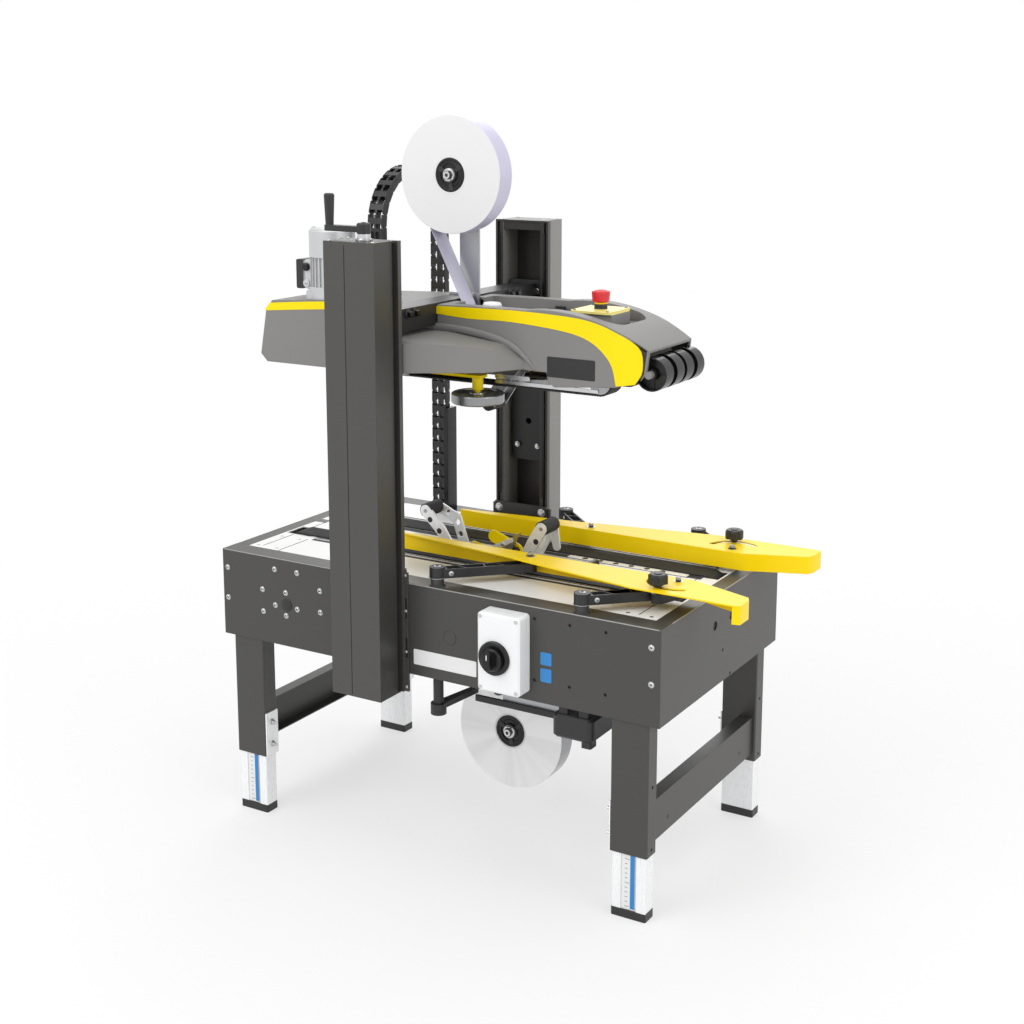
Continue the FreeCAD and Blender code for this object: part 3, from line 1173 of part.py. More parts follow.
def right_arm():
    """Discharge roller arm: a broad near plate and a branched far plate."""
    pivot = ("arm_right_x", "deck_height - arm_pivot_drop", "arm_eye")
    roller = ("arm_right_x + arm_lean*2/3", "deck_height + arm_roller_rise", "tape_roller")
    head_eye = (roller[0], roller[1], "arm_eye")
    near = new_body("right_near_plate")
    knee = ("arm_right_x + arm_lean/2", "(deck_height + arm_roller_rise/2)", "arm_eye + rib")
    layer(near, "Pad", "xz", "-arm_plate_out", "-arm_plate_in", (knee, head_eye))
    layer(near, "Pad", "xz", "-arm_plate_out", "-arm_plate_in", (pivot, knee))
    layer(near, "Pocket", "xz", "-arm_plate_out", "-arm_plate_in",
          ("arm_right_x + arm_lean/2", "deck_height + arm_roller_rise*0.6", "arm_hole"))
    far = new_body("right_far_plate")
    fork = ("arm_right_x + arm_lean*0.8", "(deck_height + arm_roller_rise/3)", "arm_eye*0.7")
    layer(far, "Pad", "xz", "arm_plate_in", "arm_plate_out", (pivot, head_eye))
    layer(far, "Pad", "xz", "arm_plate_in", "arm_plate_out", (head_eye, fork))
    return arm_parts("roller_arm_right", pivot, roller, [near, far])


def arm_parts(name, pivot, roller, plates):
    """Roller, pivot tube and bore that both kinds of roller arm have."""
    inner = "arm_plate_in"
    wheel = rod(name + "_roller", "y", roller[2], "2*roller_reach", roller[0], "-roller_reach", roller[1])
    tube = rod(name + "_tube", "y", "pin_radius + rib", "2*" + inner, pivot[0], minus(inner), pivot[1])
    bore = rod(name + "_bore", "y", "pin_radius + seat_gap", "2*unit_half", pivot[0], "-unit_half", pivot[1])
    return cut(name, join(name + "_solid", *plates, wheel, tube), bore)


def upper_unit():
    """Plates hung from the head beam, cross bars, tape drum and the bracket of the upper reel."""
    top = BEAM_LOW
    low = "(%s + upper_unit_low)" % BELT_PLANE
    parts = []
    for tag, y1, y2 in (("near", "-unit_half", "-unit_half + steel"), ("far", "unit_half - steel", "unit_half")):
        plate = new_body("upper_plate_" + tag)
        layer(plate, "Pad", "xz", y1, y2, [
            ("column_x - unit_slope", plus(low, "unit_slope/2")), ("column_x", low),
            ("upper_pivot_x", low), ("upper_pivot_x + unit_slope", plus(low, "unit_slope")),
            ("upper_pivot_x + unit_slope/2", top), ("column_x - unit_slope", top)])
        parts.append(plate)
    inside = "(unit_half - steel)"
    for tag, x, z, size in (("pivot", "upper_pivot_x", UPPER_PIVOT_Z, "pin_radius"),
                            ("rear", "column_x", plus(low, "unit_slope/2"), "pin_radius"),
                            ("drum", "drum_x", DRUM_Z, "drum_radius")):
        parts.append(rod("upper_bar_" + tag, "y", size, "2*" + inside, x, minus(inside), z))
    return join("tape_head_upper", *parts, *upper_reel_arm())


def upper_reel_arm():
    """Upright plate and spindle that carry the upper reel."""
    y1, y2 = "unit_half", "(unit_half + 2*steel)"
    left, right = "reel_x - reel_arm_back", "reel_x + reel_arm_front"
    plate = new_body("up_reel_plate")
    layer(plate, "Pad", "xz", y1, y2, [(left, BEAM_TOP), (right, BEAM_TOP), (right, REEL_Z),
                                       (left, REEL_Z)])
    eye = prism("up_reel_eye", "xz", y1, y2, ("reel_x", REEL_Z, "reel_arm_back"), ("reel_x + reel_arm_front - reel_arm_half", REEL_Z, "reel_arm_half"))
    foot = box("up_reel_foot", "column_x - beam_half", "column_x + beam_half", "unit_half - steel",
               "unit_half + unit_slope", BEAM_TOP, plus(BEAM_TOP, "2*steel"))
    spindle = rod("up_reel_spindle", "y", "spindle_radius", plus(y2, "tape_width/2 + spindle_out"),
                  "reel_x", "-tape_width/2 - spindle_out", REEL_Z)
    side = [box("up_reel_tie", "column_x + beam_half", right, "unit_half - steel", y2, BEAM_LOW + " - unit_slope",
                plus(BEAM_TOP, "2*steel"))]
    return [plate, eye, foot, spindle, *side]


def upper_arm():
    """Roller arm that hangs below the head."""
    pivot = ("upper_pivot_x", UPPER_PIVOT_Z, "arm_eye")
    roller = ("upper_roller_x", "(%s - upper_roller_drop)" % BELT_PLANE, "tape_roller")
    plates = []
    for tag, y1, y2 in (("near", "-arm_plate_out", "-arm_plate_in"), ("far", "arm_plate_in", "arm_plate_out")):
        plates.append(prism("upper_arm_" + tag, "xz", y1, y2, (pivot, (roller[0], roller[1], "tape_roller - seat_gap"))))
    return arm_parts("roller_arm_upper", pivot, roller, plates)


def reel(name, x, z, radius):
    """Roll of tape with its core, the hub in it and the bore of the hub."""
    half = "tape_width/2"
    bore = "spindle_radius + seat_gap"
    points = [
        (bore, "hub_dent - tape_width/2"), ("core_radius - core_wall", "hub_dent - tape_width/2"),
        ("core_radius", "-tape_width/2"), (radius, "-tape_width/2"), (radius, half),
        ("core_radius", half), ("core_radius - core_wall", "tape_width/2 - hub_dent"),
        (bore, "tape_width/2 - hub_dent"),
    ]
    return turned(name, "y", x, "0", z, points)


def tape_web():
    """Straight run of tape from where it peels off the upper reel to the drum."""
    peel = "(reel_radius + seat_gap)"
    start = "(reel_x - %s*sin(peel_lean))" % peel, "(%s - %s*cos(peel_lean))" % (REEL_Z, peel)
    gap_x = "(drum_x - %s)" % start[0]
    gap_z = "(%s - %s)" % (start[1], DRUM_Z)
    long = "sqrt(%s^2 + %s^2)" % (gap_x, gap_z)
    drum = "(drum_radius + seat_gap)"
    lean = "(atan2(%s; %s) - asin(%s/%s))" % (gap_x, gap_z, drum, long)
    end = "(drum_x - %s*cos%s)" % (drum, lean), "(%s - %s*sin%s)" % (DRUM_Z, drum, lean)
    side_x, side_z = "(tape_thick*cos%s)" % lean, "(tape_thick*sin%s)" % lean
    outer = [("%s - %s" % (x, side_x), "%s - %s" % (z, side_z)) for x, z in (start, end)]
    return prism("tape_web", "xz", "-tape_width/2", "tape_width/2", [start, end, outer[1], outer[0]])


# Head: moulded cover, beam with carriages, belts and squeezing rollers.
def above_belts(text):
    """Height above the running side of the upper belts."""
    return "(%s + %s)" % (BELT_PLANE, text)


def head_crown(inset):
    """Side outline of the head from the nose over the crown to its discharge end."""
    return [
        ("nose_tip - nose_under", above_belts("keel_end")),
        ("nose_tip - %s" % inset, above_belts("lip_low")),
        ("nose_tip + nose_lip - %s" % inset, above_belts("lip_high"), "crown_nose - %s" % inset),
        ("crown_end", "%s - %s" % (above_belts("crown_high"), inset), "crown_radius"),
        ("2*back_slope - head_back + %s/2" % inset, "%s - %s" % (above_belts("back_high"), inset)),
        ("back_slope - head_back + %s" % inset, "%s - %s/2" % (above_belts("back_high - back_chamfer"), inset)),
        ("%s - head_back" % inset, above_belts("cover_low + back_slope")),
    ]


def head_outline():
    """Whole side outline of the head cover, with the arch in its lower edge."""
    base = above_belts("cover_low")
    return [
        ("back_slope - head_back", base), ("arch_left", base), ("arch_left + wall", above_belts("arch_high")),
        ("arch_right - wall", above_belts("arch_high")), ("arch_right", above_belts("keel_back")),
        ("keel_x", above_belts("keel_low")), ("nose_tip - nose_round", above_belts("keel_high")),
        *head_crown("0"),
    ]


def head_cover():
    """Moulded shell with side lobes, a well in its top, an open nose and the belt pulleys."""
    outer = prism("head_block", "xz", "-head_half", "head_half", head_outline())
    plan = prism("head_plan", "xy", BELT_PLANE, plus(BELT_PLANE, "2*crown_high"), [
        ("-head_back - wall", "-head_half"), ("nose_tip - nose_round", "-head_half"),
        ("nose_tip + nose_lip + wall", "-lip_half"), ("nose_tip + nose_lip + wall", "lip_half"),
        ("nose_tip - nose_round", "head_half"), ("-head_back - wall", "head_half")])
    shell = common("head_outer", outer, plan)
    hollow = head_hollow()
    lobe, lobe_space = lobe_near("head_lobe", "0"), lobe_near("head_lobe_space", "wall")
    lobes = [lobe, mirror("head_lobe_far", lobe)]
    spaces = [lobe_space, mirror("head_lobe_space_far", lobe_space)]
    skin = cut("head_skin", join("head_solid", shell, *lobes), hollow, *spaces)
    floor = common("head_well_tray", shell, well("head_well_block", "wall", "-wall"))
    moulded = join("head_moulded", skin, floor)
    low, top = BEAM_LOW, plus(BELT_PLANE, "2*crown_high")
    notch = box("head_notch", "column_x - beam_half - notch_play", "column_x + beam_half + notch_play",
                "-head_half - wall", "head_half + wall", low, top)
    slot = box("head_tape_slot", "column_x", "drum_x + drum_radius + notch_play", "-unit_half - notch_play",
               "unit_half + 2*steel + notch_play", low, top)
    mouth = box("head_mouth", "nose_tip - nose_round/2", "nose_tip + 2*nose_round", "-lip_half + wall",
                "lip_half - wall", BELT_PLANE, plus(BELT_PLANE, "lip_high - wall"))
    cover = cut("head_shell", moulded, well("head_well", "0", "0"), notch, slot, mouth)
    parts = [cover, *belt_shaft("shaft_rear", "belt_rear"), *belt_shaft("shaft_front", "belt_front")]
    parts.append(rod("nose_axle", "y", "axle", "2*(head_half - wall)", "nose_x", "wall - head_half", NOSE_Z))
    return shell, join("head_cover", *parts)


def head_hollow():
    """The space inside the head cover, open below."""
    points = [("back_slope - head_back + wall", BELT_PLANE), ("nose_tip - nose_round", BELT_PLANE),
              *head_crown("wall")]
    return prism("head_hollow", "xz", "wall - head_half", "head_half - wall", points)


def lobe_near(name, inset):
    """Rounded side housing of the head, reaching towards the near column."""
    low, high = plus(BELT_PLANE, "lobe_low"), plus(BELT_PLANE, "lobe_high")
    front = "(lobe_reach - %s)" % inset
    body = new_body(name)
    plan = [
        ("lobe_back + %s" % inset, "wall - head_half"), ("lobe_back + %s" % inset, "lobe_round - %s" % front, "lobe_round"),
        ("lobe_back + lobe_round", minus(front)), ("lobe_front - %s" % inset, minus(front)),
        ("lobe_shoulder - %s" % inset, "-lobe_mid + %s" % inset, "-lobe_round*2"),
        ("lobe_end - %s" % inset, "wall - head_half"),
    ]
    plan = plan[:4] + [(plan[4][0], plan[4][1])] + plan[5:]
    layer(body, "Pad", "xy", plus(low, inset), plus(high, minus(inset)), plan)
    if inset == "0":
        at_top, wall_line = level("z", high), value_of("-head_half")
        soften(body, "lobe_round/4", lambda edge: at_top(edge) and edge.BoundBox.YMin < wall_line)
    slope = [
        ("lobe_front", plus(high, "wall - %s" % inset)), ("lobe_front", "%s - %s" % (high, inset)),
        ("lobe_shoulder", "%s - lobe_drop/3 - %s" % (high, inset)),
        ("lobe_end - %s" % inset, "%s - lobe_drop - %s" % (high, inset)),
        ("lobe_end + 2*wall", "%s - lobe_drop - %s" % (high, inset)),
        ("lobe_end + 2*wall", plus(high, "wall - %s" % inset)),
    ]
    layer(body, "Pocket", "xz", "-lobe_reach - wall", "2*wall - head_half", slope)
    return body


def well(name, grow, drop):
    """Recess in the top of the head with a rounded infeed end."""
    half = plus("well_half", grow)
    left, right = "well_left - %s" % grow, "well_right + %s" % grow
    low = "(%s + well_floor + %s)" % (BELT_PLANE, drop)
    return prism(name, "xy", low, plus(BELT_PLANE, "2*crown_high"), [
        (left, minus(half)), (plus(right, "-well_round"), minus(half), "well_round"),
        (right, plus(minus(half), "well_round")), (right, plus(half, "-well_round"), "well_round"),
        (plus(right, "-well_round"), half), (left, half)])


def belt_shaft(name, x):
    """Shaft with the pulleys of both upper belts."""
    z = "(%s + belt_thick + pulley_radius)" % BELT_PLANE
    side = "(head_half - wall)"
    wide = "upper_belt_out - upper_belt_in - 2*belt_edge"
    parts = [rod(name, "y", "axle", "2*" + side, x, minus(side), z)]
    for tag, y in (("near", "belt_edge - upper_belt_out"), ("far", "upper_belt_in + belt_edge")):
        parts.append(rod("%s_%s" % (name, tag), "y", "pulley_radius", wide, x, y, z))
    return parts


def head_beam():
    """Beam between the columns with the carriages that run inside them."""
    reach = "(bed_width/2 + flange_thick + neck_high + column_wall + slide_play)"
    outer = "(bed_width/2 + column_deep - column_wall - slide_play)"
    x1, x2 = "column_x - beam_half", "column_x + beam_half"
    bar = box("beam_bar", x1, x2, minus(reach), reach, BEAM_LOW, BEAM_TOP)
    half = "(column_half - column_wall - slide_play)"
    carriage = new_body("beam_carriage")
    layer(carriage, "Pad", "xz", minus(outer), minus(reach), round_box(
        "column_x - %s" % half, plus(BEAM_LOW, "-slide_play - wall"), "column_x + %s" % half,
        plus(BEAM_TOP, "wall"), "slide_play"))
    plate = new_body("beam_plate")
    low, high = plus(BEAM_LOW, "-plate_long"), plus(BEAM_LOW, "-slide_play")
    slim = "(column_mouth - slide_play)"
    layer(plate, "Pad", "xz", minus(outer), plus(minus(reach), "-steel"), [
        ("column_x - %s" % slim, low), ("column_x + %s" % slim, low),
        ("column_x + %s" % slim, high), ("column_x - %s" % slim, high)])
    holes = [("column_x", plus(low, text), "spindle_radius/2") for text in ("plate_long/4", "plate_long*3/4")]
    layer(plate, "Pocket", "xz", "-bed_width/2 - column_deep", minus(HALF_BED), *holes)
    parts = [bar, carriage, plate, mirror("beam_carriage_far", carriage), mirror("beam_plate_far", plate)]
    return join("head_beam", *parts)


def squeeze_arm():
    """Near flat bar with its spacers, round post and roller pin."""
    low = "(%s + bar_rise)" % BELT_PLANE
    high = plus(low, "2*steel")
    y = "-squeeze_y"
    bar = prism("squeeze_bar", "xy", low, high, [
        ("squeeze_back", "%s - squeeze_half" % y), ("squeeze_x + spindle_radius", "%s - squeeze_half" % y),
        ("squeeze_x + spindle_radius + slot_side", y), ("squeeze_x + spindle_radius", "%s + squeeze_half" % y),
        ("squeeze_back", "%s + squeeze_half" % y)])
    parts = [bar]
    top = plus(BELT_PLANE, "lobe_low")
    for tag, x in (("back", "squeeze_back + 2*spindle_radius"), ("front", "squeeze_x - 2*spindle_radius")):
        parts.append(rod("squeeze_spacer_" + tag, "z", "spindle_radius/2", "lobe_low - bar_rise - 2*steel",
                         x, y, high))
    disc_top = "(%s - disc_drop)" % BELT_PLANE
    post = "bar_rise + disc_drop - slide_play"
    parts.append(rod("squeeze_post", "z", "spindle_radius - steel", post, "squeeze_x", y,
                     plus(disc_top, "slide_play")))
    parts.append(rod("squeeze_pin", "z", "pin_radius", "disc_thick + disc_drop + steel + bar_rise",
                     "squeeze_x", y, "%s - disc_thick - steel" % disc_top))
    return join("squeeze_arm_near", *parts)


def squeeze_roller():
    """Near flat roller with a rounded tyre, hub recess and bore."""
    high, half = "disc_thick", "disc_radius"
    bore = "pin_radius + seat_gap"
    points = [
        (bore, "0"), ("disc_hub", "0"), ("disc_hub", "hub_dent"), ("disc_radius - tyre", "hub_dent"),
        ("disc_radius - tyre", "0"), ("disc_radius - steel", "0"), (half, "steel"),
        (half, "disc_thick - steel"), ("disc_radius - steel", high), ("disc_radius - tyre", high),
        ("disc_radius - tyre", "disc_thick - hub_dent"), ("disc_hub", "disc_thick - hub_dent"),
        ("disc_hub", high), (bore, high),
    ]
    return turned("squeeze_roller_near", "z", "squeeze_x", "-squeeze_y",
                  "(%s - disc_drop - disc_thick)" % BELT_PLANE, points)


def nose_wheels():
    """Four thin-rimmed wheels on one tube, with spokes that show at the open ends."""
    bore = "axle + seat_gap"
    hub = "(axle + seat_gap + steel)"
    parts = []
    rim_in = "(nose_radius - rib)"
    outer = "(lip_half - wall - slot_side)"
    tube = rod("nose_tube", "y", hub, "2*" + outer, "nose_x", minus(outer), NOSE_Z)
    for number, (y1, y2) in enumerate((
            (minus(outer), "wheel_wide - %s" % outer),
            ("-wheel_wide - wheel_gap", "-wheel_gap"), ("wheel_gap", "wheel_wide + wheel_gap"),
            ("%s - wheel_wide" % outer, outer))):
        body = new_body("nose_wheel_%d" % number)
        layer(body, "Pad", "xz", y1, y2, ("nose_x", NOSE_Z, "nose_radius"), ("nose_x", NOSE_Z, rim_in))
        middle = "((%s) + (%s))/2" % (y1, y2)
        spoke_box = ("nose_x - steel/2", "%s - %s - steel/2" % (NOSE_Z, rim_in),
                     "nose_x + steel/2", "%s + %s + steel/2" % (NOSE_Z, rim_in))
        parts.append(body)
        for turn, (u1, v1, u2, v2) in enumerate((spoke_box, (
                "nose_x - %s - steel/2" % rim_in, "%s - steel/2" % NOSE_Z,
                "nose_x + %s + steel/2" % rim_in, "%s + steel/2" % NOSE_Z))):
            parts.append(prism("nose_spoke_%d_%d" % (number, turn), "xz", "%s - steel" % middle,
                               "%s + steel" % middle, [(u1, v1), (u2, v1), (u2, v2), (u1, v2)]))
    bore_rod = rod("nose_bore", "y", bore, "2*head_half", "nose_x", "-head_half", NOSE_Z)
    return cut("nose_wheels", join("nose_wheel_solid", tube, *parts), bore_rod)


# On top of the head: gear motor, stop button, crank, tape and energy chain.
def dome(radius, rise):
    """Radius of a dome from its edge radius and its rise."""
    return "((%s)^2 + (%s)^2)/(2*(%s))" % (radius, rise, rise)


def motor(block):
    """Gear motor with cooling fins, domed cover, flange, gear case and terminal box."""
    low = "(%s + motor_rise)" % BELT_PLANE
    case = plus(low, "motor_case")
    points = [
        ("0", "0"), ("motor_radius", "0"), ("motor_radius", "motor_case + flange_thick"),
        ("motor_radius - fin", "motor_case + flange_thick"), ("motor_radius - fin", "motor_long"),
        ("motor_radius", "motor_long"), ("motor_radius", "motor_high - fin"),
        ("motor_radius - fin", "motor_high", dome("motor_radius - fin", "fin/2")),
        ("0", "motor_high + fin/2"),
    ]
    body = turned("motor_body", "z", "motor_x", "motor_y", low, points)
    fin = new_body("motor_fins")
    layer(fin, "Pad", "xy", "motor_case", "motor_long", [
        ("0", "-steel/2"), ("motor_radius - steel/2", "-steel/2"), ("motor_radius - steel/2", "steel/2"),
        ("0", "steel/2")])
    ring(fin, fin.Tip, "z", "fin_count")
    place(fin, "motor_x", "motor_y", low)
    foot = prism("motor_foot", "xy", low, case, round_box(
        "motor_x - motor_foot", "motor_y - motor_foot", "motor_x + motor_foot", "motor_y + motor_foot",
        "box_round"))
    z1, z2 = plus(low, "motor_case + wall"), plus(low, "terminal_top")
    left = "(motor_x - motor_radius - terminal_deep)"
    terminal = prism("motor_terminal", "xz", "motor_y - terminal_half", "motor_y + terminal_half", round_box(
        left, z1, "motor_x", z2, "box_round"))
    lid = prism("motor_lid", "xz", "motor_y - terminal_half - steel", "motor_y + terminal_half + steel",
                round_box("%s - terminal_lid" % left, z1, left, z2, "box_round/2"))
    return cut("gear_motor", join("motor_solid", body, fin, foot, terminal, lid), block)


def stop_base():
    """Plate, riser and collar of the stop button, standing in the well."""
    floor = "(%s + well_floor)" % BELT_PLANE
    seat = plus(floor, "plate_rise")
    plate = prism("stop_plate", "xy", "%s - 2*steel" % seat, seat, round_box(
        "stop_x - plate_back", "-plate_half", "stop_x + plate_front", "plate_half", "box_round"))
    riser = box("stop_riser", "stop_x - plate_back + box_round", "stop_x + plate_back", "box_round - plate_half",
                "plate_half - box_round", floor, "%s - 2*steel" % seat)
    collar = turned("stop_collar", "z", "stop_x", "0", seat, [
        ("0", "0"), ("collar_radius", "0"), ("collar_radius", "collar_high"),
        ("neck_radius", "collar_high"), ("neck_radius", "neck_rise"), ("0", "neck_rise")])
    bore = rod("stop_bore", "z", "stem_radius + seat_gap", "plate_rise + neck_rise", "stop_x", "0", floor)
    return cut("stop_base", join("stop_solid", plate, riser, collar), bore)


def stop_button():
    """Tapered cap with a hollow skirt on its stem."""
    seat = "(%s + well_floor + plate_rise)" % BELT_PLANE
    low = "(collar_high + press_room)"
    inside = plus(low, "skirt_deep")
    return turned("stop_button", "z", "stop_x", "0", seat, [
        ("0", "-2*steel"), ("stem_radius", "-2*steel"), ("stem_radius", inside),
        ("skirt_radius", inside), ("skirt_radius", low), ("skirt_low", low),
        ("button_radius", plus(low, "skirt_deep + wall")),
        ("button_radius", plus(low, "button_high - wall"), dome("button_radius", "wall")),
        ("0", plus(low, "button_high"))])


def crank():
    """Tapered crank arm with a bush, hub and tapered grip."""
    y = "(-bed_width/2 - crank_y)"
    bush = rod("crank_bush", "z", "crank_bush", "crank_rise", "crank_x", y, CAP_TOP)
    hub = turned("crank_hub", "z", "crank_x", y, plus(CAP_TOP, "crank_rise"), [
        ("0", "0"), ("crank_hub", "0"), ("crank_hub", "crank_high - steel"),
        ("crank_hub - steel", "crank_high"), ("0", "crank_high")])
    low = plus(CAP_TOP, "crank_rise + steel")
    arm = prism("crank_arm", "xy", low, plus(low, "crank_thick"),
                (("crank_x", y, "crank_hub - steel"), ("crank_x - crank_long", y, "grip_low + steel")))
    grip = turned("crank_grip", "z", "crank_x - crank_long", y, low, [
        ("0", "0"), ("grip_low", "0"), ("grip_neck", "crank_thick + steel"),
        ("grip_top", "grip_high - steel"), ("grip_top - steel", "grip_high"), ("0", "grip_high")])
    return join("crank", bush, hub, arm, grip)


def chain_loop():
    """Fixed run and bend of the energy chain with link windows, and its guide channel."""
    middle = "((chain_near + chain_far)/2)"
    bend = "((chain_far - chain_near)/2)"
    half = "chain_thick/2"
    top = "(%s + chain_bend)" % BELT_PLANE
    x1, x2 = "(chain_x - chain_wide/2)", "(chain_x + chain_wide/2)"
    body = new_body("chain_body")
    wide, slim = plus(bend, half), "%s - %s" % (bend, half)
    layer(body, "Pad", "yz", x1, x2, [
        ("chain_far - " + half, "deck_height"), ("chain_far + " + half, "deck_height"),
        ("chain_far + " + half, top, wide), (middle, plus(top, wide), wide),
        ("chain_near - " + half, top), ("chain_near + " + half, top, minus(slim)),
        (middle, plus(top, slim), minus(slim)), ("chain_far - " + half, top)])
    window = layer(body, "Pocket", "xz", "chain_far - chain_thick", "chain_far + chain_thick",
                   *link_windows("deck_height + link_edge"))
    row(body, window, "z", "(link_count - 1)*link_pitch", "link_count")
    channel = prism("chain_channel", "xy", "deck_height", "deck_height + channel_high", [
        (x2, "chain_far - chain_thick"), (plus(x2, "flange_thick"), "chain_far - chain_thick"),
        (plus(x2, "flange_thick"), "chain_far + chain_thick"), (x2, "chain_far + chain_thick")])
    return join("chain_loop", body, channel)


def link_windows(low):
    """The pair of openings of one chain link, at a height."""
    x1, x2 = "(chain_x - chain_wide/2 + link_edge)", "(chain_x + chain_wide/2 - link_edge)"
    high = "%s + link_pitch - link_edge" % low
    gap = "link_edge/4"
    return [
        [(x1, low), ("chain_x - " + gap, low), ("chain_x - " + gap, high), (x1, high)],
        [("chain_x + " + gap, low), (x2, low), (x2, high), ("chain_x + " + gap, high)],
    ]


def chain_run(block):
    """Moving run of the energy chain down to the head."""
    half = "chain_thick/2"
    low, top = plus(BELT_PLANE, "crown_high - 2*wall"), "(%s + chain_bend)" % BELT_PLANE
    body = new_body("chain_strip")
    layer(body, "Pad", "xz", "chain_near - " + half, "chain_near + " + half, [
        ("chain_x - chain_wide/2", low), ("chain_x + chain_wide/2", low),
        ("chain_x + chain_wide/2", top), ("chain_x - chain_wide/2", top)])
    window = layer(body, "Pocket", "xz", "chain_near - chain_thick", "chain_near + chain_thick",
                   *link_windows("%s - link_pitch" % top))
    pattern = row(body, window, "z", "(run_links - 1)*link_pitch", "run_links")
    pattern.Reversed = True
    return cut("chain_run", body, block)


def twins(nodes, names):
    """Adds the far copies of near pieces."""
    for name in names:
        far = name.replace("near", "far")
        nodes[far] = mirror(far, nodes[name])


def base_nodes(nodes):
    """Bed, legs, columns and what hangs on them."""
    nodes["bed_side_near"] = bed_side()
    nodes["bed_end_left"] = bed_end("bed_end_left", -1)
    nodes["bed_end_right"] = bed_end("bed_end_right", 1)
    nodes["deck_plate"] = deck()
    reach = "(bed_length/2 - pulley_inset)"
    nodes["belt_lower_near"] = belt("belt_lower_near", "-belt_outer", "-belt_inner", minus(reach), reach,
                                    "(deck_height - pulley_radius)", "pulley_radius")
    for end, sign_x in (("left", -1), ("right", 1)):
        nodes["leg_frame_" + end] = leg_frame("leg_frame_" + end, sign_x)
        nodes["leg_near_" + end] = inner_leg("leg_near_" + end, sign_x, -1)
        nodes["leg_far_" + end] = inner_leg("leg_far_" + end, sign_x, 1)
    nodes["column_near"] = column()
    nodes["switch_box"] = switch_box()
    nodes["switch_knob"] = switch_knob()
    nodes["tool_tray"] = tray()
    nodes["guide_arm_near_left"] = guide_arm("guide_arm_near_left", "a", "shaft_long", lever)
    nodes["guide_arm_near_right"] = guide_arm("guide_arm_near_right", "b", "shaft_short", clamp)
    nodes["guide_near"] = guide()
    twins(nodes, ("bed_side_near", "belt_lower_near", "column_near", "guide_arm_near_left",
                  "guide_arm_near_right", "guide_near"))
    nodes["tape_head_lower"] = lower_unit()
    nodes["roller_arm_left"] = left_arm()
    nodes["roller_arm_right"] = right_arm()
    nodes["reel_lower"] = reel("reel_lower", "low_reel_x", "low_reel_z", "low_reel_radius")


def head_nodes(nodes):
    """The head that moves up and down, and what it carries."""
    block, nodes["head_cover"] = head_cover()
    nodes["head_beam"] = head_beam()
    nodes["belt_upper_near"] = belt("belt_upper_near", "-upper_belt_out", "-upper_belt_in", "belt_rear",
                                    "belt_front", "(%s + belt_thick + pulley_radius)" % BELT_PLANE,
                                    "pulley_radius")
    nodes["tape_head_upper"] = upper_unit()
    nodes["roller_arm_upper"] = upper_arm()
    nodes["squeeze_arm_near"] = squeeze_arm()
    nodes["squeeze_roller_near"] = squeeze_roller()
    twins(nodes, ("belt_upper_near", "squeeze_arm_near", "squeeze_roller_near"))
    nodes["nose_wheels"] = nose_wheels()
    nodes["gear_motor"] = motor(block)
    nodes["stop_base"] = stop_base()
    nodes["stop_button"] = stop_button()
    nodes["crank"] = crank()
    nodes["reel_upper"] = reel("reel_upper", "reel_x", REEL_Z, "reel_radius")
    nodes["tape_web"] = tape_web()
    nodes["chain_loop"] = chain_loop()
    nodes["chain_run"] = chain_run(block)


def build_all():
    """Builds every sub-part and returns them by name."""
    nodes = {}
    base_nodes(nodes)
    head_nodes(nodes)
    return nodes


def check_and_write(nodes):
    """Checks every object and writes one STEP file per sub-part."""
    document.recompute()
    for item in document.Objects:
        if "Invalid" in item.State or "Error" in item.State:
            raise RuntimeError("%s didn't build: %s" % (item.Name, item.State))
    os.makedirs("parts", exist_ok=True)
    for name, node in nodes.items():
        node.Label = name
        if node.Shape.isNull() or not node.Shape.isValid() or node.Shape.Volume <= 0:
            raise RuntimeError("%s has no valid solid" % name)
        if len(node.Shape.Solids) != 1:
            raise RuntimeError("%s has %d solids" % (name, len(node.Shape.Solids)))
        node.Shape.exportStep("parts/%s.step" % name)


fill_sheet()
check_and_write(build_all())
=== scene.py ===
import json
from itertools import product
from math import atan2, cos, hypot, pi, radians, sin
import bmesh
import bpy
from mathutils import Matrix, Vector


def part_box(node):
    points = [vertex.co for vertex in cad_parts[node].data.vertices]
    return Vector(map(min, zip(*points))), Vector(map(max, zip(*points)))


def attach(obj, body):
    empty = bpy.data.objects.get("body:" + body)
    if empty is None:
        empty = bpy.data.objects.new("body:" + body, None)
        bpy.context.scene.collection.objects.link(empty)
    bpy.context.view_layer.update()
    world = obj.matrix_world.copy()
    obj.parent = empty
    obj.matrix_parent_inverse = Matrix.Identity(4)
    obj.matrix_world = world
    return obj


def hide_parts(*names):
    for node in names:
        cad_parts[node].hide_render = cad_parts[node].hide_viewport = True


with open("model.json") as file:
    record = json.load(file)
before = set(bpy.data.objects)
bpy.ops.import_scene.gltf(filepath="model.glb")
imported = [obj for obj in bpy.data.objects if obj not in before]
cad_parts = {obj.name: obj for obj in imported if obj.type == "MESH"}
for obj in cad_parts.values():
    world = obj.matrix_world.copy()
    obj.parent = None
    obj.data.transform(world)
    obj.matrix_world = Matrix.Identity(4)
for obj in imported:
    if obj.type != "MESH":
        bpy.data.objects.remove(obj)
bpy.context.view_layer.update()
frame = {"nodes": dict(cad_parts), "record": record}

# Places are given in millimetres from the middle of the bed, as in the part's own drawing.
MM = 0.001
SHIFT = -49.0
moved = Matrix.Translation

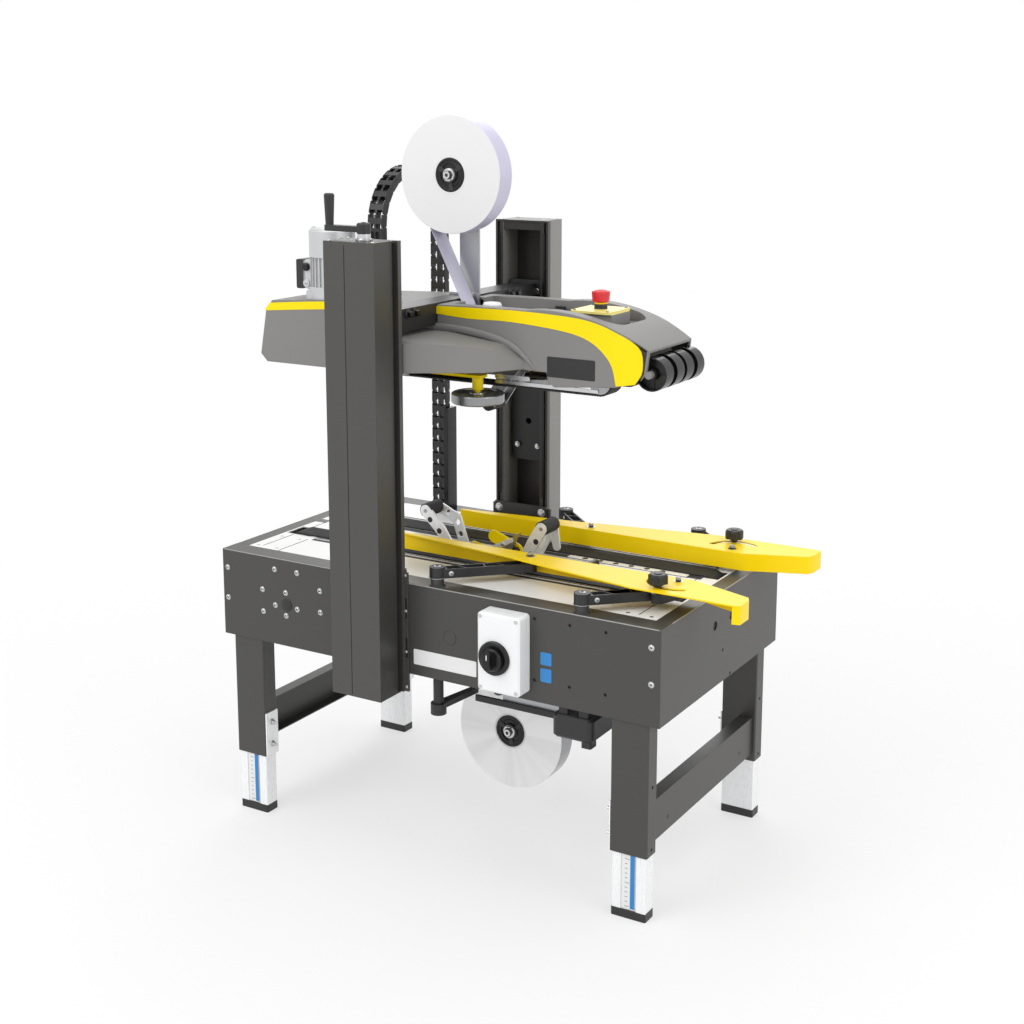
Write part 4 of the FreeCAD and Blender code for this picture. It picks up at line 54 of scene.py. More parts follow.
# Directions, and heights and places that several pieces share.
UP, NEAR, ALONG_Y = (0, 0, 1), (0, -1, 0), (0, 1, 0)
DECK_TOP, PANEL_HALF, HEAD_TOP = 620, 300, 1155
COLUMN_X = -118
UPPER_REEL, LOWER_REEL = (-107, 1459), (46, 210)
CORNERS = ((-1, -1), (1, -1), (1, 1), (-1, 1))


def at(x, y, z):
    """A point of the drawing in metres."""
    return Vector(((x + SHIFT) * MM, y * MM, z * MM))


def new_object(name, data):
    """An object in the scene's collection."""
    item = bpy.data.objects.new(name, data)
    bpy.context.collection.objects.link(item)
    return item


def aimed(place, target):
    """A frame at a place that looks at a target."""
    return moved(place) @ (target - place).to_track_quat("-Z", "Y").to_matrix().to_4x4()


# Camera at the photograph's viewing angle; focal length and horizon in the photograph's pixels.
PHOTO_SIZE, FOCAL, HORIZON, SENSOR = 1024, 1578.76, 400, 36


def add_camera():
    data = bpy.data.cameras.new("camera")
    data.lens = SENSOR * FOCAL / PHOTO_SIZE
    data.sensor_width = SENSOR
    data.shift_y = (HORIZON - PHOTO_SIZE / 2) / PHOTO_SIZE
    data.clip_end = 50
    camera = new_object("camera", data)
    camera.matrix_world = aimed(at(1794.2, -2923.1, 1620.3), at(35.72, 0, 970.83))
    bpy.context.scene.camera = camera


# Lights: name, place, height of the target, size and power, in metres and watts.
LIGHTS = (
    ("key", (-1.6, -3.8, 3.8), 0.8, (3.0, 2.4), 86),
    ("side", (4.2, -0.8, 2.6), 0.8, (2.6, 2.8), 45),
    ("top", (0.0, 0.4, 4.6), 0.6, (4.2, 3.6), 42),
    ("back", (-1.8, 3.8, 2.8), 0.9, (2.8, 2.2), 35),
)
BACKDROP = (1, 1, 1, 1)
AMBIENT = 0.8
FLOOR_REACH = 40.0


def add_light(name, place, level, size, power):
    data = bpy.data.lights.new(name, "AREA")
    data.shape = "RECTANGLE"
    data.size, data.size_y = size
    data.energy = power
    new_object(name, data).matrix_world = aimed(Vector(place), Vector((0, 0, level)))


def seen_rays(tree):
    """1 for what the camera sees straight, in a reflection or through glass, 0 for light on the object."""
    rays = tree.nodes.new("ShaderNodeLightPath").outputs
    seen = rays["Is Camera Ray"]
    for name in ("Is Glossy Ray", "Is Transmission Ray"):
        seen = combine(tree, "MAXIMUM", seen, rays[name])
    return seen


def add_studio():
    """Soft lights, a white world and the floor."""
    for light in LIGHTS:
        add_light(*light)
    world = bpy.data.worlds.new("studio")
    world.use_nodes = True
    tree = world.node_tree
    level = add_node(tree, "MapRange", "Result", Value=seen_rays(tree), To_Min=AMBIENT)
    adjust(tree.nodes["Background"], Color=BACKDROP, Strength=level)
    bpy.context.scene.world = world
    bpy.context.scene.view_settings.view_transform = "Standard"
    add_floor()


def add_floor():
    """A pale floor that fades into the backdrop away from the machine."""
    mesh = bpy.data.meshes.new("floor")
    mesh.from_pydata([(x * FLOOR_REACH, y * FLOOR_REACH, 0) for x, y in CORNERS], [], [(0, 1, 2, 3)])
    floor = new_object("floor", mesh)
    material = coating("floor_paper", (232, 232, 232), rough=0.85, spread=0.008, grain=30, bump=0.0)
    tree = material.node_tree
    away = add_node(tree, "VectorMath", "Value", operation="LENGTH", Vector=add_node(tree, "TexCoord", "Object"))
    fade = add_node(tree, "MapRange", "Result", interpolation_type="SMOOTHSTEP", Value=away, From_Min=0.6,
                    From_Max=2.7, To_Min=0.55)
    share = combine(tree, "MULTIPLY", fade, seen_rays(tree))
    paper = tree.nodes["Principled BSDF"].outputs["BSDF"]
    glow = add_node(tree, "Emission", "Emission", Color=BACKDROP)
    blend = tree.nodes.new("ShaderNodeMixShader")
    for source, entry in zip((share, paper, glow), blend.inputs):
        tree.links.new(source, entry)
    adjust(tree.nodes["Material Output"], Surface=blend.outputs["Shader"])
    mesh.materials.append(material)


# Materials: every one has grain, colour variation and a bump at the scale of the real surface.
def linear(red, green, blue):
    """Scene colour of an sRGB colour from 0 to 255."""
    def level(value):
        value /= 255
        return value / 12.92 if value <= 0.04045 else ((value + 0.055) / 1.055) ** 2.4
    return (level(red), level(green), level(blue), 1)


def adjust(node, **values):
    """Sets a node: names in lower case are its settings, the others its inputs, as a value or a linked socket."""
    for name, value in values.items():
        if name.islower():
            setattr(node, name, value)
            continue
        entry = node.inputs[name.replace("_", " ")]
        if isinstance(value, bpy.types.NodeSocket):
            node.id_data.links.new(value, entry)
        else:
            entry.default_value = value
    return node


def add_node(tree, kind, out, **values):
    """An output of a new shader node."""
    return adjust(tree.nodes.new("ShaderNode" + kind), **values).outputs[out]


def combine(tree, operation, first, second):
    """The result of a Math node with two inputs."""
    node = adjust(tree.nodes.new("ShaderNodeMath"), operation=operation)
    tree.links.new(first, node.inputs[0])
    tree.links.new(second, node.inputs[1])
    return node.outputs["Value"]


def noise_field(tree, coords, scale, detail, roughness=0.6, **mapping):
    """A noise over the object's own coordinates, stretched or turned by a mapping."""
    mapped = add_node(tree, "Mapping", "Vector", Vector=coords, **mapping)
    return add_node(tree, "TexNoise", "Fac", Vector=mapped, Scale=scale, Detail=detail, Roughness=roughness)


BUMP_DEPTH = 0.0002  # metres


def coating(name, color, rough=0.34, metal=0.0, spread=0.04, patch=6.0, grain=500.0, bump=0.03, stretch=(1, 1, 1),
            rough_spread=0.08, coat=0.0, edge=0.0012, wear=None, alpha=1.0, gloss=0.5):
    """A surface finish: patchy tone, fine grain in bump and roughness, and softened edges."""
    material = bpy.data.materials.new(name)
    material.use_nodes = True
    tree = material.node_tree
    coords = add_node(tree, "TexCoord", "Object")
    patches = noise_field(tree, coords, patch, 4.0, Scale=stretch)
    fine = noise_field(tree, coords, grain, 2.0, Scale=stretch)
    base = linear(*color)[:3]
    tone = add_node(tree, "Mix", "Result", data_type="RGBA", Factor=patches,
                    A=[channel * (1 - spread) for channel in base] + [1],
                    B=[min(channel * (1 + spread), 1) for channel in base] + [1])
    if wear:
        tone = add_wear(tree, coords, tone, *wear)
    span = add_node(tree, "MapRange", "Result", Value=fine, From_Min=0.3, From_Max=0.7,
                    To_Min=max(rough - rough_spread, 0.02), To_Max=min(rough + rough_spread, 1.0))
    soft = add_node(tree, "Bevel", "Normal", samples=4, Radius=edge)
    raised = add_node(tree, "Bump", "Normal", Strength=bump, Distance=BUMP_DEPTH, Height=fine, Normal=soft)
    adjust(tree.nodes["Principled BSDF"], Base_Color=tone, Roughness=span, Normal=raised, Metallic=metal,
           Specular_IOR_Level=gloss, Coat_Weight=coat, Coat_Roughness=0.12, Alpha=alpha)
    return material


def add_wear(tree, coords, source, color, amount, scale):
    """Sparse rubbed spots and short scratches of another colour."""
    field = noise_field(tree, coords, scale, 9.0, 0.72, Scale=(1, 7, 1), Rotation=(0, 0, 0.4))
    mask = add_node(tree, "MapRange", "Result", Value=field, From_Min=0.62, From_Max=0.72, To_Max=amount)
    return add_node(tree, "Mix", "Result", data_type="RGBA", Factor=mask, A=source, B=linear(*color))


MATERIALS = {}
BRUSHED_UP = dict(stretch=(6, 6, 0.25), grain=260, bump=0.04)
YELLOW_COAT = dict(rough=0.36, spread=0.025, grain=700, bump=0.08, gloss=0.25)


def make_materials():
    """All finishes by name."""
    def add(key, name, *color, **surface):
        MATERIALS[key] = coating(name, color, **surface)

    add("panel", "panel_paint", 63, 62, 59, rough=0.4, grain=900, bump=0.08, wear=((80, 79, 75), 0.10, 30))
    add("column", "column_paint", 68, 67, 64, rough=0.36, **BRUSHED_UP)
    # Painted shade: a darker copy of the column paint for the faces inside the columns and towards the bed.
    add("inside", "column_inside_painted_shade", 50, 48, 45, rough=0.42, spread=0.05, **BRUSHED_UP)
    add("deck", "deck_plate", 240, 240, 239, metal=0.08, spread=0.03, stretch=(0.3, 6, 1), grain=300,
        wear=((216, 216, 216), 0.3, 26))
    add("rubber", "belt_rubber", 31, 31, 32, rough=0.66, spread=0.14, bump=0.22, edge=0.0004,
        wear=((58, 58, 58), 0.35, 24))
    add("steel", "zinc_steel", 172, 173, 176, metal=0.85, spread=0.05, patch=9, grain=240, stretch=(5, 5, 0.4),
        bump=0.012, rough_spread=0.05)
    add("turned", "turned_steel", 150, 151, 152, rough=0.3, metal=0.95, spread=0.16, patch=16, grain=160,
        stretch=(4, 4, 0.15), bump=0.02, rough_spread=0.06)
    add("chrome", "bright_screw", 206, 206, 208, rough=0.2, metal=0.95, spread=0.05, patch=60, grain=700,
        bump=0.02, edge=0.0004)
    add("alu", "drawn_aluminium", 246, 247, 248, rough=0.32, metal=0.4, spread=0.05, stretch=(9, 9, 0.2), grain=240)
    add("cast", "cast_aluminium", 198, 199, 200, rough=0.4, metal=0.5, spread=0.06, patch=16, grain=620, bump=0.12)
    add("shell", "head_moulding", 130, 129, 127, rough=0.52, spread=0.03, grain=1500, bump=0.22, edge=0.003,
        gloss=0.3)
    add("black", "black_moulding", 35, 35, 36, rough=0.42, spread=0.08, grain=1300, bump=0.16)
    add("gloss_black", "satin_black", 18, 18, 19, rough=0.24, spread=0.06, grain=800, bump=0.04, gloss=0.4)
    add("white", "white_enclosure", 238, 239, 240, spread=0.02, grain=1100, bump=0.06, coat=0.1)
    add("yellow", "yellow_coat", 252, 222, 2, wear=((236, 198, 16), 0.25, 34), **YELLOW_COAT)
    add("amber", "guide_coat", 253, 216, 0, wear=((238, 194, 12), 0.25, 34), **YELLOW_COAT)
    add("pale_yellow", "pale_yellow_coat", 238, 222, 132, rough=0.36, spread=0.02, grain=700, bump=0.06, gloss=0.3)
    add("red", "red_button", 214, 34, 42, rough=0.28, grain=600, bump=0.04, coat=0.3)
    add("film", "wound_film", 198, 195, 216, spread=0.1, patch=26, stretch=(1, 0.2, 1), grain=900, gloss=0.3,
        wear=((128, 120, 168), 0.35, 60))
    add("clear_film", "clear_wound_film", 150, 151, 154, rough=0.22, metal=0.5, spread=0.12, patch=26,
        stretch=(1, 0.2, 1), grain=900, coat=0.4)
    add("film_edge", "film_edges", 228, 228, 229, rough=0.46, spread=0.02, patch=4, grain=1400, bump=0.1, gloss=0.3)
    add("clear_edge", "clear_film_edges", 252, 252, 252, rough=0.32, metal=0.2, spread=0.03, patch=5,
        grain=1200, bump=0.05)
    add("web", "tape_run", 206, 204, 222, rough=0.16, spread=0.05, patch=30, grain=200, bump=0.02, coat=0.4,
        alpha=0.82, wear=((150, 146, 190), 0.3, 60))
    add("blue", "blue_mark", 44, 128, 196, rough=0.4, spread=0.03, grain=600)
    add("paper", "blank_plate", 230, 231, 230, rough=0.4, spread=0.02)
    add("pale_line", "pale_strip", 198, 199, 198)
    # Painted light on the columns' infeed sides: a darker copy of the column paint stands for shade on the near
    # column, a lighter copy for a sheen on the far one.
    add("painted_shade_side", "column_painted_shade", 58, 57, 54, rough=0.4, **BRUSHED_UP)
    add("painted_sheen_side", "column_painted_sheen", 134, 133, 129, **BRUSHED_UP)
    # Painted highlight: a pale copy of the panel paint for thin strips along the panels' top edges.
    add("painted_edge_highlight", "painted_edge_sheen", 158, 157, 153, spread=0.05, bump=0.02)
    # Dark finish of the plugs, ruler marks and wheel middles, also used as painted shade: discs in holes, screw
    # sockets and the nose cheeks.
    add("dark", "dark_plug_and_painted_shade", 38, 37, 35, rough=0.5, spread=0.06, grain=900, bump=0.1)
    polish(MATERIALS["clear_edge"], 0.75, "Y")
    # Painted reflection: wedges of tone round the lower reel's axis.
    painted_reflection_wedges(MATERIALS["clear_edge"], 0.91)
    polish(MATERIALS["turned"], 0.4, "Z")


def polish(material, amount, axis):
    """Makes highlights run out from the middle of a turned face."""
    tree = material.node_tree
    tangent = add_node(tree, "Tangent", "Tangent", direction_type="RADIAL", axis=axis)
    adjust(tree.nodes["Principled BSDF"], Anisotropic=amount, Tangent=tangent)


def painted_reflection_wedges(material, darkest):
    """Broad rays of lighter and darker tone round the axis of the lower reel: painted wedges of reflection on the
    clear film.
    """
    tree = material.node_tree
    x, z = LOWER_REEL
    coords = tree.nodes["Texture Coordinate"].outputs["Object"]
    centre = add_node(tree, "Mapping", "Vector", Vector=coords, Location=-at(x, 0, z))
    parts = adjust(tree.nodes.new("ShaderNodeSeparateXYZ"), Vector=centre).outputs
    turn = combine(tree, "ARCTAN2", parts["Z"], parts["X"])
    rays = add_node(tree, "TexNoise", "Fac", noise_dimensions="1D", W=turn, Scale=1.7, Detail=3.0)
    span = add_node(tree, "MapRange", "Result", Value=rays, From_Min=0.40, From_Max=0.56, To_Min=darkest)
    shader = tree.nodes["Principled BSDF"]
    color = shader.inputs["Base Color"].links[0].from_socket
    adjust(shader, Base_Color=add_node(tree, "VectorMath", "Vector", operation="SCALE", Vector=color, Scale=span))


# Pieces that are CAD nodes with rounded edges and zones of material.
def tidy_mesh(source, name):
    """A copy of a node's mesh with its flat faces joined."""
    work = bmesh.new()
    work.from_mesh(source.data)
    bmesh.ops.remove_doubles(work, verts=work.verts, dist=2e-6)
    bmesh.ops.dissolve_limit(work, angle_limit=radians(0.08), verts=work.verts, edges=work.edges)
    mesh = bpy.data.meshes.new(name)
    work.to_mesh(mesh)
    work.free()
    return mesh


def applied(piece):
    """Replaces a piece's mesh by the result of its modifiers."""
    graph = bpy.context.evaluated_depsgraph_get()
    mesh = bpy.data.meshes.new_from_object(piece.evaluated_get(graph))
    piece.modifiers.clear()
    piece.data = mesh


def round_edges(piece, width):
    """Bevels the sharp edges and shades the rest smooth."""
    bevel = piece.modifiers.new("bevel", "BEVEL")
    bevel.width = width * MM
    bevel.segments = 2
    bevel.limit_method = "ANGLE"
    bevel.angle_limit = radians(32)
    bevel.use_clamp_overlap = True
    bevel.miter_outer = "MITER_ARC"
    applied(piece)
    smooth(piece, 40)
    even = piece.modifiers.new("even", "WEIGHTED_NORMAL")
    even.keep_sharp = True
    even.weight = 100
    applied(piece)


def smooth(piece, angle):
    """Smooth shading up to an angle."""
    mesh = piece.data
    mesh.polygons.foreach_set("use_smooth", [True] * len(mesh.polygons))
    work = bmesh.new()
    work.from_mesh(mesh)
    limit = radians(angle)
    for edge in work.edges:
        if len(edge.link_faces) == 2:
            edge.smooth = edge.calc_face_angle(0) < limit
    work.to_mesh(mesh)
    work.free()


def dress(node, finish, width=0.8, zones=()):
    """Replaces a node by a copy with rounded edges; zones pick other finishes by face."""
    source = frame["nodes"][node]
    body = next(name for name, nodes in frame["record"]["behaviour"]["bodies"].items() if node in nodes)
    piece = new_object(node + "_dressed", tidy_mesh(source, node + "_dressed"))
    for name in (finish, *(other for _, other in zones)):
        piece.data.materials.append(MATERIALS[name])
    for face in piece.data.polygons:
        face.material_index = 0
        spot = face.center / MM - Vector((SHIFT, 0, 0))
        for number, (test, _) in enumerate(zones, start=1):
            if test(spot, face.normal):
                face.material_index = number
    round_edges(piece, width)
    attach(piece, body)
    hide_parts(node)


# Small parts: screws, washers, plugs and plates, gathered into one piece for each body.
class Gather:
    """Collects many small shapes into one piece."""

    def __init__(self, name, body, slot, *finishes):
        self.name, self.body, self.slot, self.finishes = name, body, slot, finishes
        self.verts, self.faces, self.kinds = [], [], []

    def add(self, shape, matrix=None, kind=0):
        """Adds a shape of (verts, faces) moved by a matrix in millimetres of the drawing."""
        start = len(self.verts)
        verts, faces = shape
        for vert in verts:
            spot = (matrix @ Vector(vert)) if matrix else Vector(vert)
            self.verts.append(at(*spot))
        for face in faces:
            self.faces.append([start + index for index in face])
            self.kinds.append(kind)

    def put(self, shape, spot, way, kind=0, spin=0.0):
        """Adds a shape that stands at a point and looks along a direction."""
        self.add(shape, facing(*spot, way, spin), kind)

    def screw(self, x, y, z, way, radius, spin=0.3):
        """Button-head screw with a thin washer and, in the second finish, a hexagon socket drawn as a thin dark plate:
        painted shade in the recess.
        """
        rise = radius * 0.55
        self.put(lathe([(0, 0), (radius * 1.25, 0), (radius * 1.25, 0.8), (radius, 0.8), (radius * 0.93, rise * 0.7),
                        (radius * 0.7, rise), (radius * 0.5, rise), (radius * 0.46, rise * 0.45), (0, rise * 0.4)]),
                 (x, y, z), way, 0, spin)
        self.put(hexagon(radius * 0.4, rise * 0.41, rise * 0.46), (x, y, z), way, 1, spin)

    def bolt(self, x, y, z, way, radius, kind=0):
        """Hexagon bolt head with a washer and a chamfered top."""
        top = 1.2 + radius * 0.6
        crown = lathe([(0, top), (radius * 0.8, top), (radius * 0.66, 1.2 + radius * 0.72), (0, 1.2 + radius * 0.72)])
        for shape in (disc(radius * 1.3, 0, 1.2), hexagon(radius, 1.2, top), crown):
            self.put(shape, (x, y, z), way, kind, 0.2)

    def make(self, width=0.0, angle=40, nodes=()):
        """Makes the piece and hands it to its body."""
        mesh = bpy.data.meshes.new(self.name)
        mesh.from_pydata(self.verts, [], self.faces)
        mesh.polygons.foreach_set("material_index", self.kinds)
        piece = new_object(self.name, mesh)
        for finish in self.finishes:
            mesh.materials.append(MATERIALS[finish])
        work = bmesh.new()
        work.from_mesh(mesh)
        bmesh.ops.recalc_face_normals(work, faces=work.faces)
        work.to_mesh(mesh)
        work.free()
        if width:
            round_edges(piece, width)
        else:
            smooth(piece, angle)
        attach(piece, self.body)
        if nodes:
            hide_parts(*nodes)


def lathe(points, count=24):
    """A closed or open profile of (radius, height) turned about Z; radius 0 closes with a fan."""
    verts, faces, rings = [], [], []
    for radius, height in points:
        if radius == 0:
            rings.append([len(verts)])
            verts.append((0, 0, height))
            continue
        rings.append(list(range(len(verts), len(verts) + count)))
        for step in range(count):
            turn = 2 * pi * step / count
            verts.append((radius * cos(turn), radius * sin(turn), height))
    for low, high in zip(rings, rings[1:]):
        for step in range(count):
            after = (step + 1) % count
            if len(low) == 1:
                faces.append((low[0], high[step], high[after]))
            elif len(high) == 1:
                faces.append((low[step], low[after], high[0]))
            else:
                faces.append((low[step], low[after], high[after], high[step]))
    return verts, faces


def prism(outline, low, high):
    """An outline in X and Y between two heights."""
    count = len(outline)
    verts = [(x, y, low) for x, y in outline] + [(x, y, high) for x, y in outline]
    faces = [tuple(range(count))[::-1], tuple(range(count, 2 * count))]
    for step in range(count):
        after = (step + 1) % count
        faces.append((step, after, count + after, count + step))
    return verts, faces


def disc(radius, low, high, count=24):
    """A round plate between two heights."""
    return lathe([(0, low), (radius, low), (radius, high), (0, high)], count)


def hoop(inner, outer, low, high, count):
    """A flat ring between two heights."""
    return lathe([(inner, low), (outer, low), (outer, high), (inner, high), (inner, low)], count)


def upright(outline, low, high):
    """An outline in X and Z between two places across the bed."""
    verts, faces = prism(outline, low, high)
    return [(x, y, z) for x, z, y in verts], faces


def tube(rings, size, closed=False):
    """Faces between rings of points that follow each other."""
    faces = []
    for step in range(rings if closed else rings - 1):
        after = (step + 1) % rings
        for part in range(size):
            other = (part + 1) % size
            faces.append((step * size + part, after * size + part, after * size + other, step * size + other))
    return faces


def plate(width, height, thick, corner=0):
    """A flat plate about the origin with rounded corners."""
    if not corner:
        return prism([(x * width / 2, y * height / 2) for x, y in CORNERS], 0, thick)
    outline = []
    for quarter, (sx, sy) in enumerate(CORNERS[1:] + CORNERS[:1]):
        for step in range(5):
            turn = pi / 2 * (quarter - 1 + step / 4)
            outline.append((sx * (width / 2 - corner) + corner * cos(turn),
                            sy * (height / 2 - corner) + corner * sin(turn)))
    return prism(outline, 0, thick)


def facing(x, y, z, way, spin=0.0):
    """A frame whose Z looks along a direction."""
    turn = Vector(way).to_track_quat("Z", "Y").to_matrix().to_4x4()
    return moved((x, y, z)) @ turn @ Matrix.Rotation(spin, 4, "Z")


def hexagon(radius, low, high):
    """A prism with six corners."""
    return prism([(radius * cos(2 * pi * step / 6), radius * sin(2 * pi * step / 6)) for step in range(6)], low, high)


PANEL_SCREWS = (
    (-536, 578), (-537, 507), (-400, 594), (-337, 595), (-436, 542), (-274, 564), (-435, 491), (-274, 515),
    (-370, 544), (-400, 511), (-338, 511), (-370, 491), (530, 582), (531, 507),
)


def bed_fittings():
    """Screws, plugs, dark discs behind the holes as painted shade, and the bare plates of both side panels."""
    small = Gather("panel_screws", "frame", "bare_steel", "chrome", "dark")
    plugs = Gather("panel_plugs_and_hole_shade", "frame", "black_plastic", "dark", "panel")
    for side in (-1, 1):
        y, way = side * PANEL_HALF, (0, side, 0)
        for x, z in PANEL_SCREWS:
            small.screw(x, y, z, way, 5.2, 0.01 * x)
        plugs.put(lathe([(0, 0), (15, 0), (15, 0.8), (12.5, 2.2), (0, 2.2)], 32), (-368, y, 516), way)
        plugs.put(lathe([(0, 0), (16, 0), (15, 0.9), (0, 1.2)], 32), (65, y, 518), way, 1)
        # Dark discs just inside the side panels behind their holes: painted shade.
        for x, z in product((269, 350, 431), (595, 466)):
            plugs.put(disc(7, 0, 1.5, 20), (x, side * 296.9, z), (0, -side, 0))
    # Dark discs inside the end panels behind their holes: painted shade.
    for end, y in product((-1, 1), (-42, 42)):
        plugs.put(disc(14, 0, 1.5, 28), (end * 546.9, y, 554), (-end, 0, 0))
    for y, z in ((0, 489.5), (42, 425)):
        plugs.put(disc(7, 0, 1.5, 20), (546.9, y, z), (-1, 0, 0))
    small.make()
    plugs.make()
    plates = Gather("bare_plates", "frame", "deck_steel", "paper", "blue")
    plates.put(plate(157, 34, 0.6, 3), (52, -PANEL_HALF, 461), NEAR)
    plates.put(plate(26, 27, 0.4, 3), (296, -PANEL_HALF, 515), NEAR, 1)
    plates.put(plate(26, 29, 0.4, 3), (296, -PANEL_HALF, 480), NEAR, 1)
    plates.make()


def deck_fittings():
    """Seams, dark bands, pale strips, screws and the fittings of the middle strip of the deck; the dark bands beside
    the belts are painted shade in the gaps there.
    """
    def lay(gather, shape, x, y, kind=0):
        gather.put(shape, (x, y, DECK_TOP), UP, kind)

    seams = Gather("deck_seams", "frame", "black_plastic", "gloss_black", "rubber", "pale_line")
    for side in (-1, 1):
        # Dark bands along both edges of each lower belt, the wider ones under the guides: painted shade in the gaps.
        lay(seams, plate(898, 22.5, 0.35), 29, side * 130.75, 1)
        lay(seams, plate(898, 18, 0.35), 29, side * 48, 1)
        lay(seams, plate(890, 4.5, 1.6), 30, side * 130, 2)
        lay(seams, plate(2.0, 106, 0.3), -430, side * 196)
        lay(seams, plate(900, 2.0, 0.3), 0, side * 38)
    lay(seams, plate(55, 17, 0.4), -412, -108.5)
    lay(seams, plate(36, 24, 0.4, 4), -505, 6)
    for x in (-486, 470):
        lay(seams, plate(2.0, 470, 0.3), x, 0)
    seams.make()
    strip = Gather("deck_middle", "frame", "bare_steel", "steel", "gloss_black", "alu", "chrome")
    lay(strip, plate(290, 17, 1.6, 2), 300, 48, 2)
    lay(strip, plate(210, 22, 1.6, 2), 336, -12, 2)
    for x in range(196, 387, 38):
        lay(strip, disc(6.5, 1.62, 1.8, 28), x, 48, 1)
    lay(strip, plate(196, 6, 4, 1), 338, -26)
    for x in (250, 428):
        strip.bolt(x, -12, DECK_TOP + 1.6, UP, 5, 3)
    strip.put(disc(9, 0, 46, 32), (236, -23, 624), ALONG_Y, 1)
    strip.put(disc(3.5, 0, 58, 20), (236, -29, 624), ALONG_Y, 3)
    strip.make(angle=35)
    small = Gather("deck_screws", "frame", "bare_steel", "chrome")
    for x, y in product((-498, -446, 446, 498), (-236, -152, 152, 236)):
        lay(small, lathe([(0, 0), (4.4, 0), (4.2, 0.5), (2.4, 0.6), (0, 0.25)], 20), x, y)
    small.make()
    # Thin strips of painted highlight along the top edges of the side and end panels, a painted sheen on their folded
    # edges.
    highlight_lines = Gather("panel_edge_highlights", "frame", "panel_paint", "painted_edge_highlight")
    for side in (-1, 1):
        highlight_lines.put(plate(1092, 2.2, 0.15), (0, side * 299.2, DECK_TOP - 0.8), (0, side, 1))
        highlight_lines.put(plate(590, 2.2, 0.15), (side * 549.2, 0, DECK_TOP - 0.8), (side, 0, 1))
    highlight_lines.make()


# Belts, with four rings of points for each rib.
BELT_RADIUS, BELT_THICK, RIB_PITCH, RIB_DEPTH = 25, 4, 6, 0.9


def ribbed_belt(node, middle, y1, y2):
    """A belt with a fine rib profile outside, round the pulleys of a node's own place."""
    low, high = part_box(node)
    outer = BELT_RADIUS + BELT_THICK
    left = low.x / MM - SHIFT + outer
    right = high.x / MM - SHIFT - outer
    run = right - left
    arc = pi * outer
    total = 2 * run + 2 * arc
    count = int(total / RIB_PITCH) * 4
    verts = []
    for step in range(count):
        way = total * step / count
        if way < run:
            x, turn = left + way, pi / 2
        elif way < run + arc:
            x, turn = right, pi / 2 - (way - run) / outer
        elif way < 2 * run + arc:
            x, turn = right - (way - run - arc), -pi / 2
        else:
            x, turn = left, -pi / 2 - (way - 2 * run - arc) / outer
        rib = BELT_THICK if step % 4 < 2 else BELT_THICK - RIB_DEPTH
        for size, y in ((BELT_RADIUS + rib, y1), (BELT_RADIUS + rib, y2), (BELT_RADIUS, y2), (BELT_RADIUS, y1)):
            verts.append((x + cos(turn) * size, y, middle + sin(turn) * size))
    belt = Gather(node + "_ribbed", "frame" if "lower" in node else "head", "belt_rubber", "rubber")
    belt.add((verts, tube(count, 4, True)))
    belt.make(angle=30, nodes=(node,))


def belts():
    """The four belts; the far ones mirror the near ones."""
    for side, name in ((-1, "near"), (1, "far")):
        for level, middle, reach in (("lower", 595, (60, 116)), ("upper", 1047, (40, 90))):
            ribbed_belt("belt_%s_%s" % (level, name), middle, *sorted(side * y for y in reach))


def leg_fittings():
    """Rulers on the inner legs, clamp plates, and dark discs on the sleeves as painted shade in their holes."""
    strips = Gather("leg_rulers", "frame", "aluminium", "paper", "blue", "dark")
    clamps = Gather("leg_clamps", "frame", "aluminium", "alu", "chrome", "dark")
    for end in (-1, 1):
        middle, inward, outward = end * 484.5, (-end, 0, 0), (end, 0, 0)
        for side in (-1, 1):
            face, y, way = side * 293.7, side * 276, (0, side, 0)
            strips.put(plate(30, 300, 0.4), (middle, side * 293.3, 170), way)
            strips.put(plate(10, 296, 0.3), (middle + 9, face, 170), way, 1)
            for mark in range(29):
                wide = 10 if mark % 5 == 0 else 6
                strips.put(plate(wide, 0.7, 0.3), (middle - 3 - (10 - wide) / 2, face, 26 + mark * 10.2), way, 2)
            clamps.put(plate(40, 104, 3, 2), (end * 443, y, 191), inward)
            for z in (218, 165):
                clamps.bolt(end * 440, y, z, inward, 6, 1)
                clamps.put(lathe([(0, 5), (3.4, 5), (3.2, 13), (0, 13)], 16), (end * 440, y, z), inward, 1)
            # Dark discs standing for the sleeves' holes: painted shade.
            for z in (284, 151):
                clamps.put(disc(3.5, 0, 0.3, 16), (end * 523.2, y, z), outward, 2)
            clamps.put(disc(4.2, 0, 0.3, 16), (end * 518, side * 185, 184), outward, 2)
    strips.make()
    clamps.make()


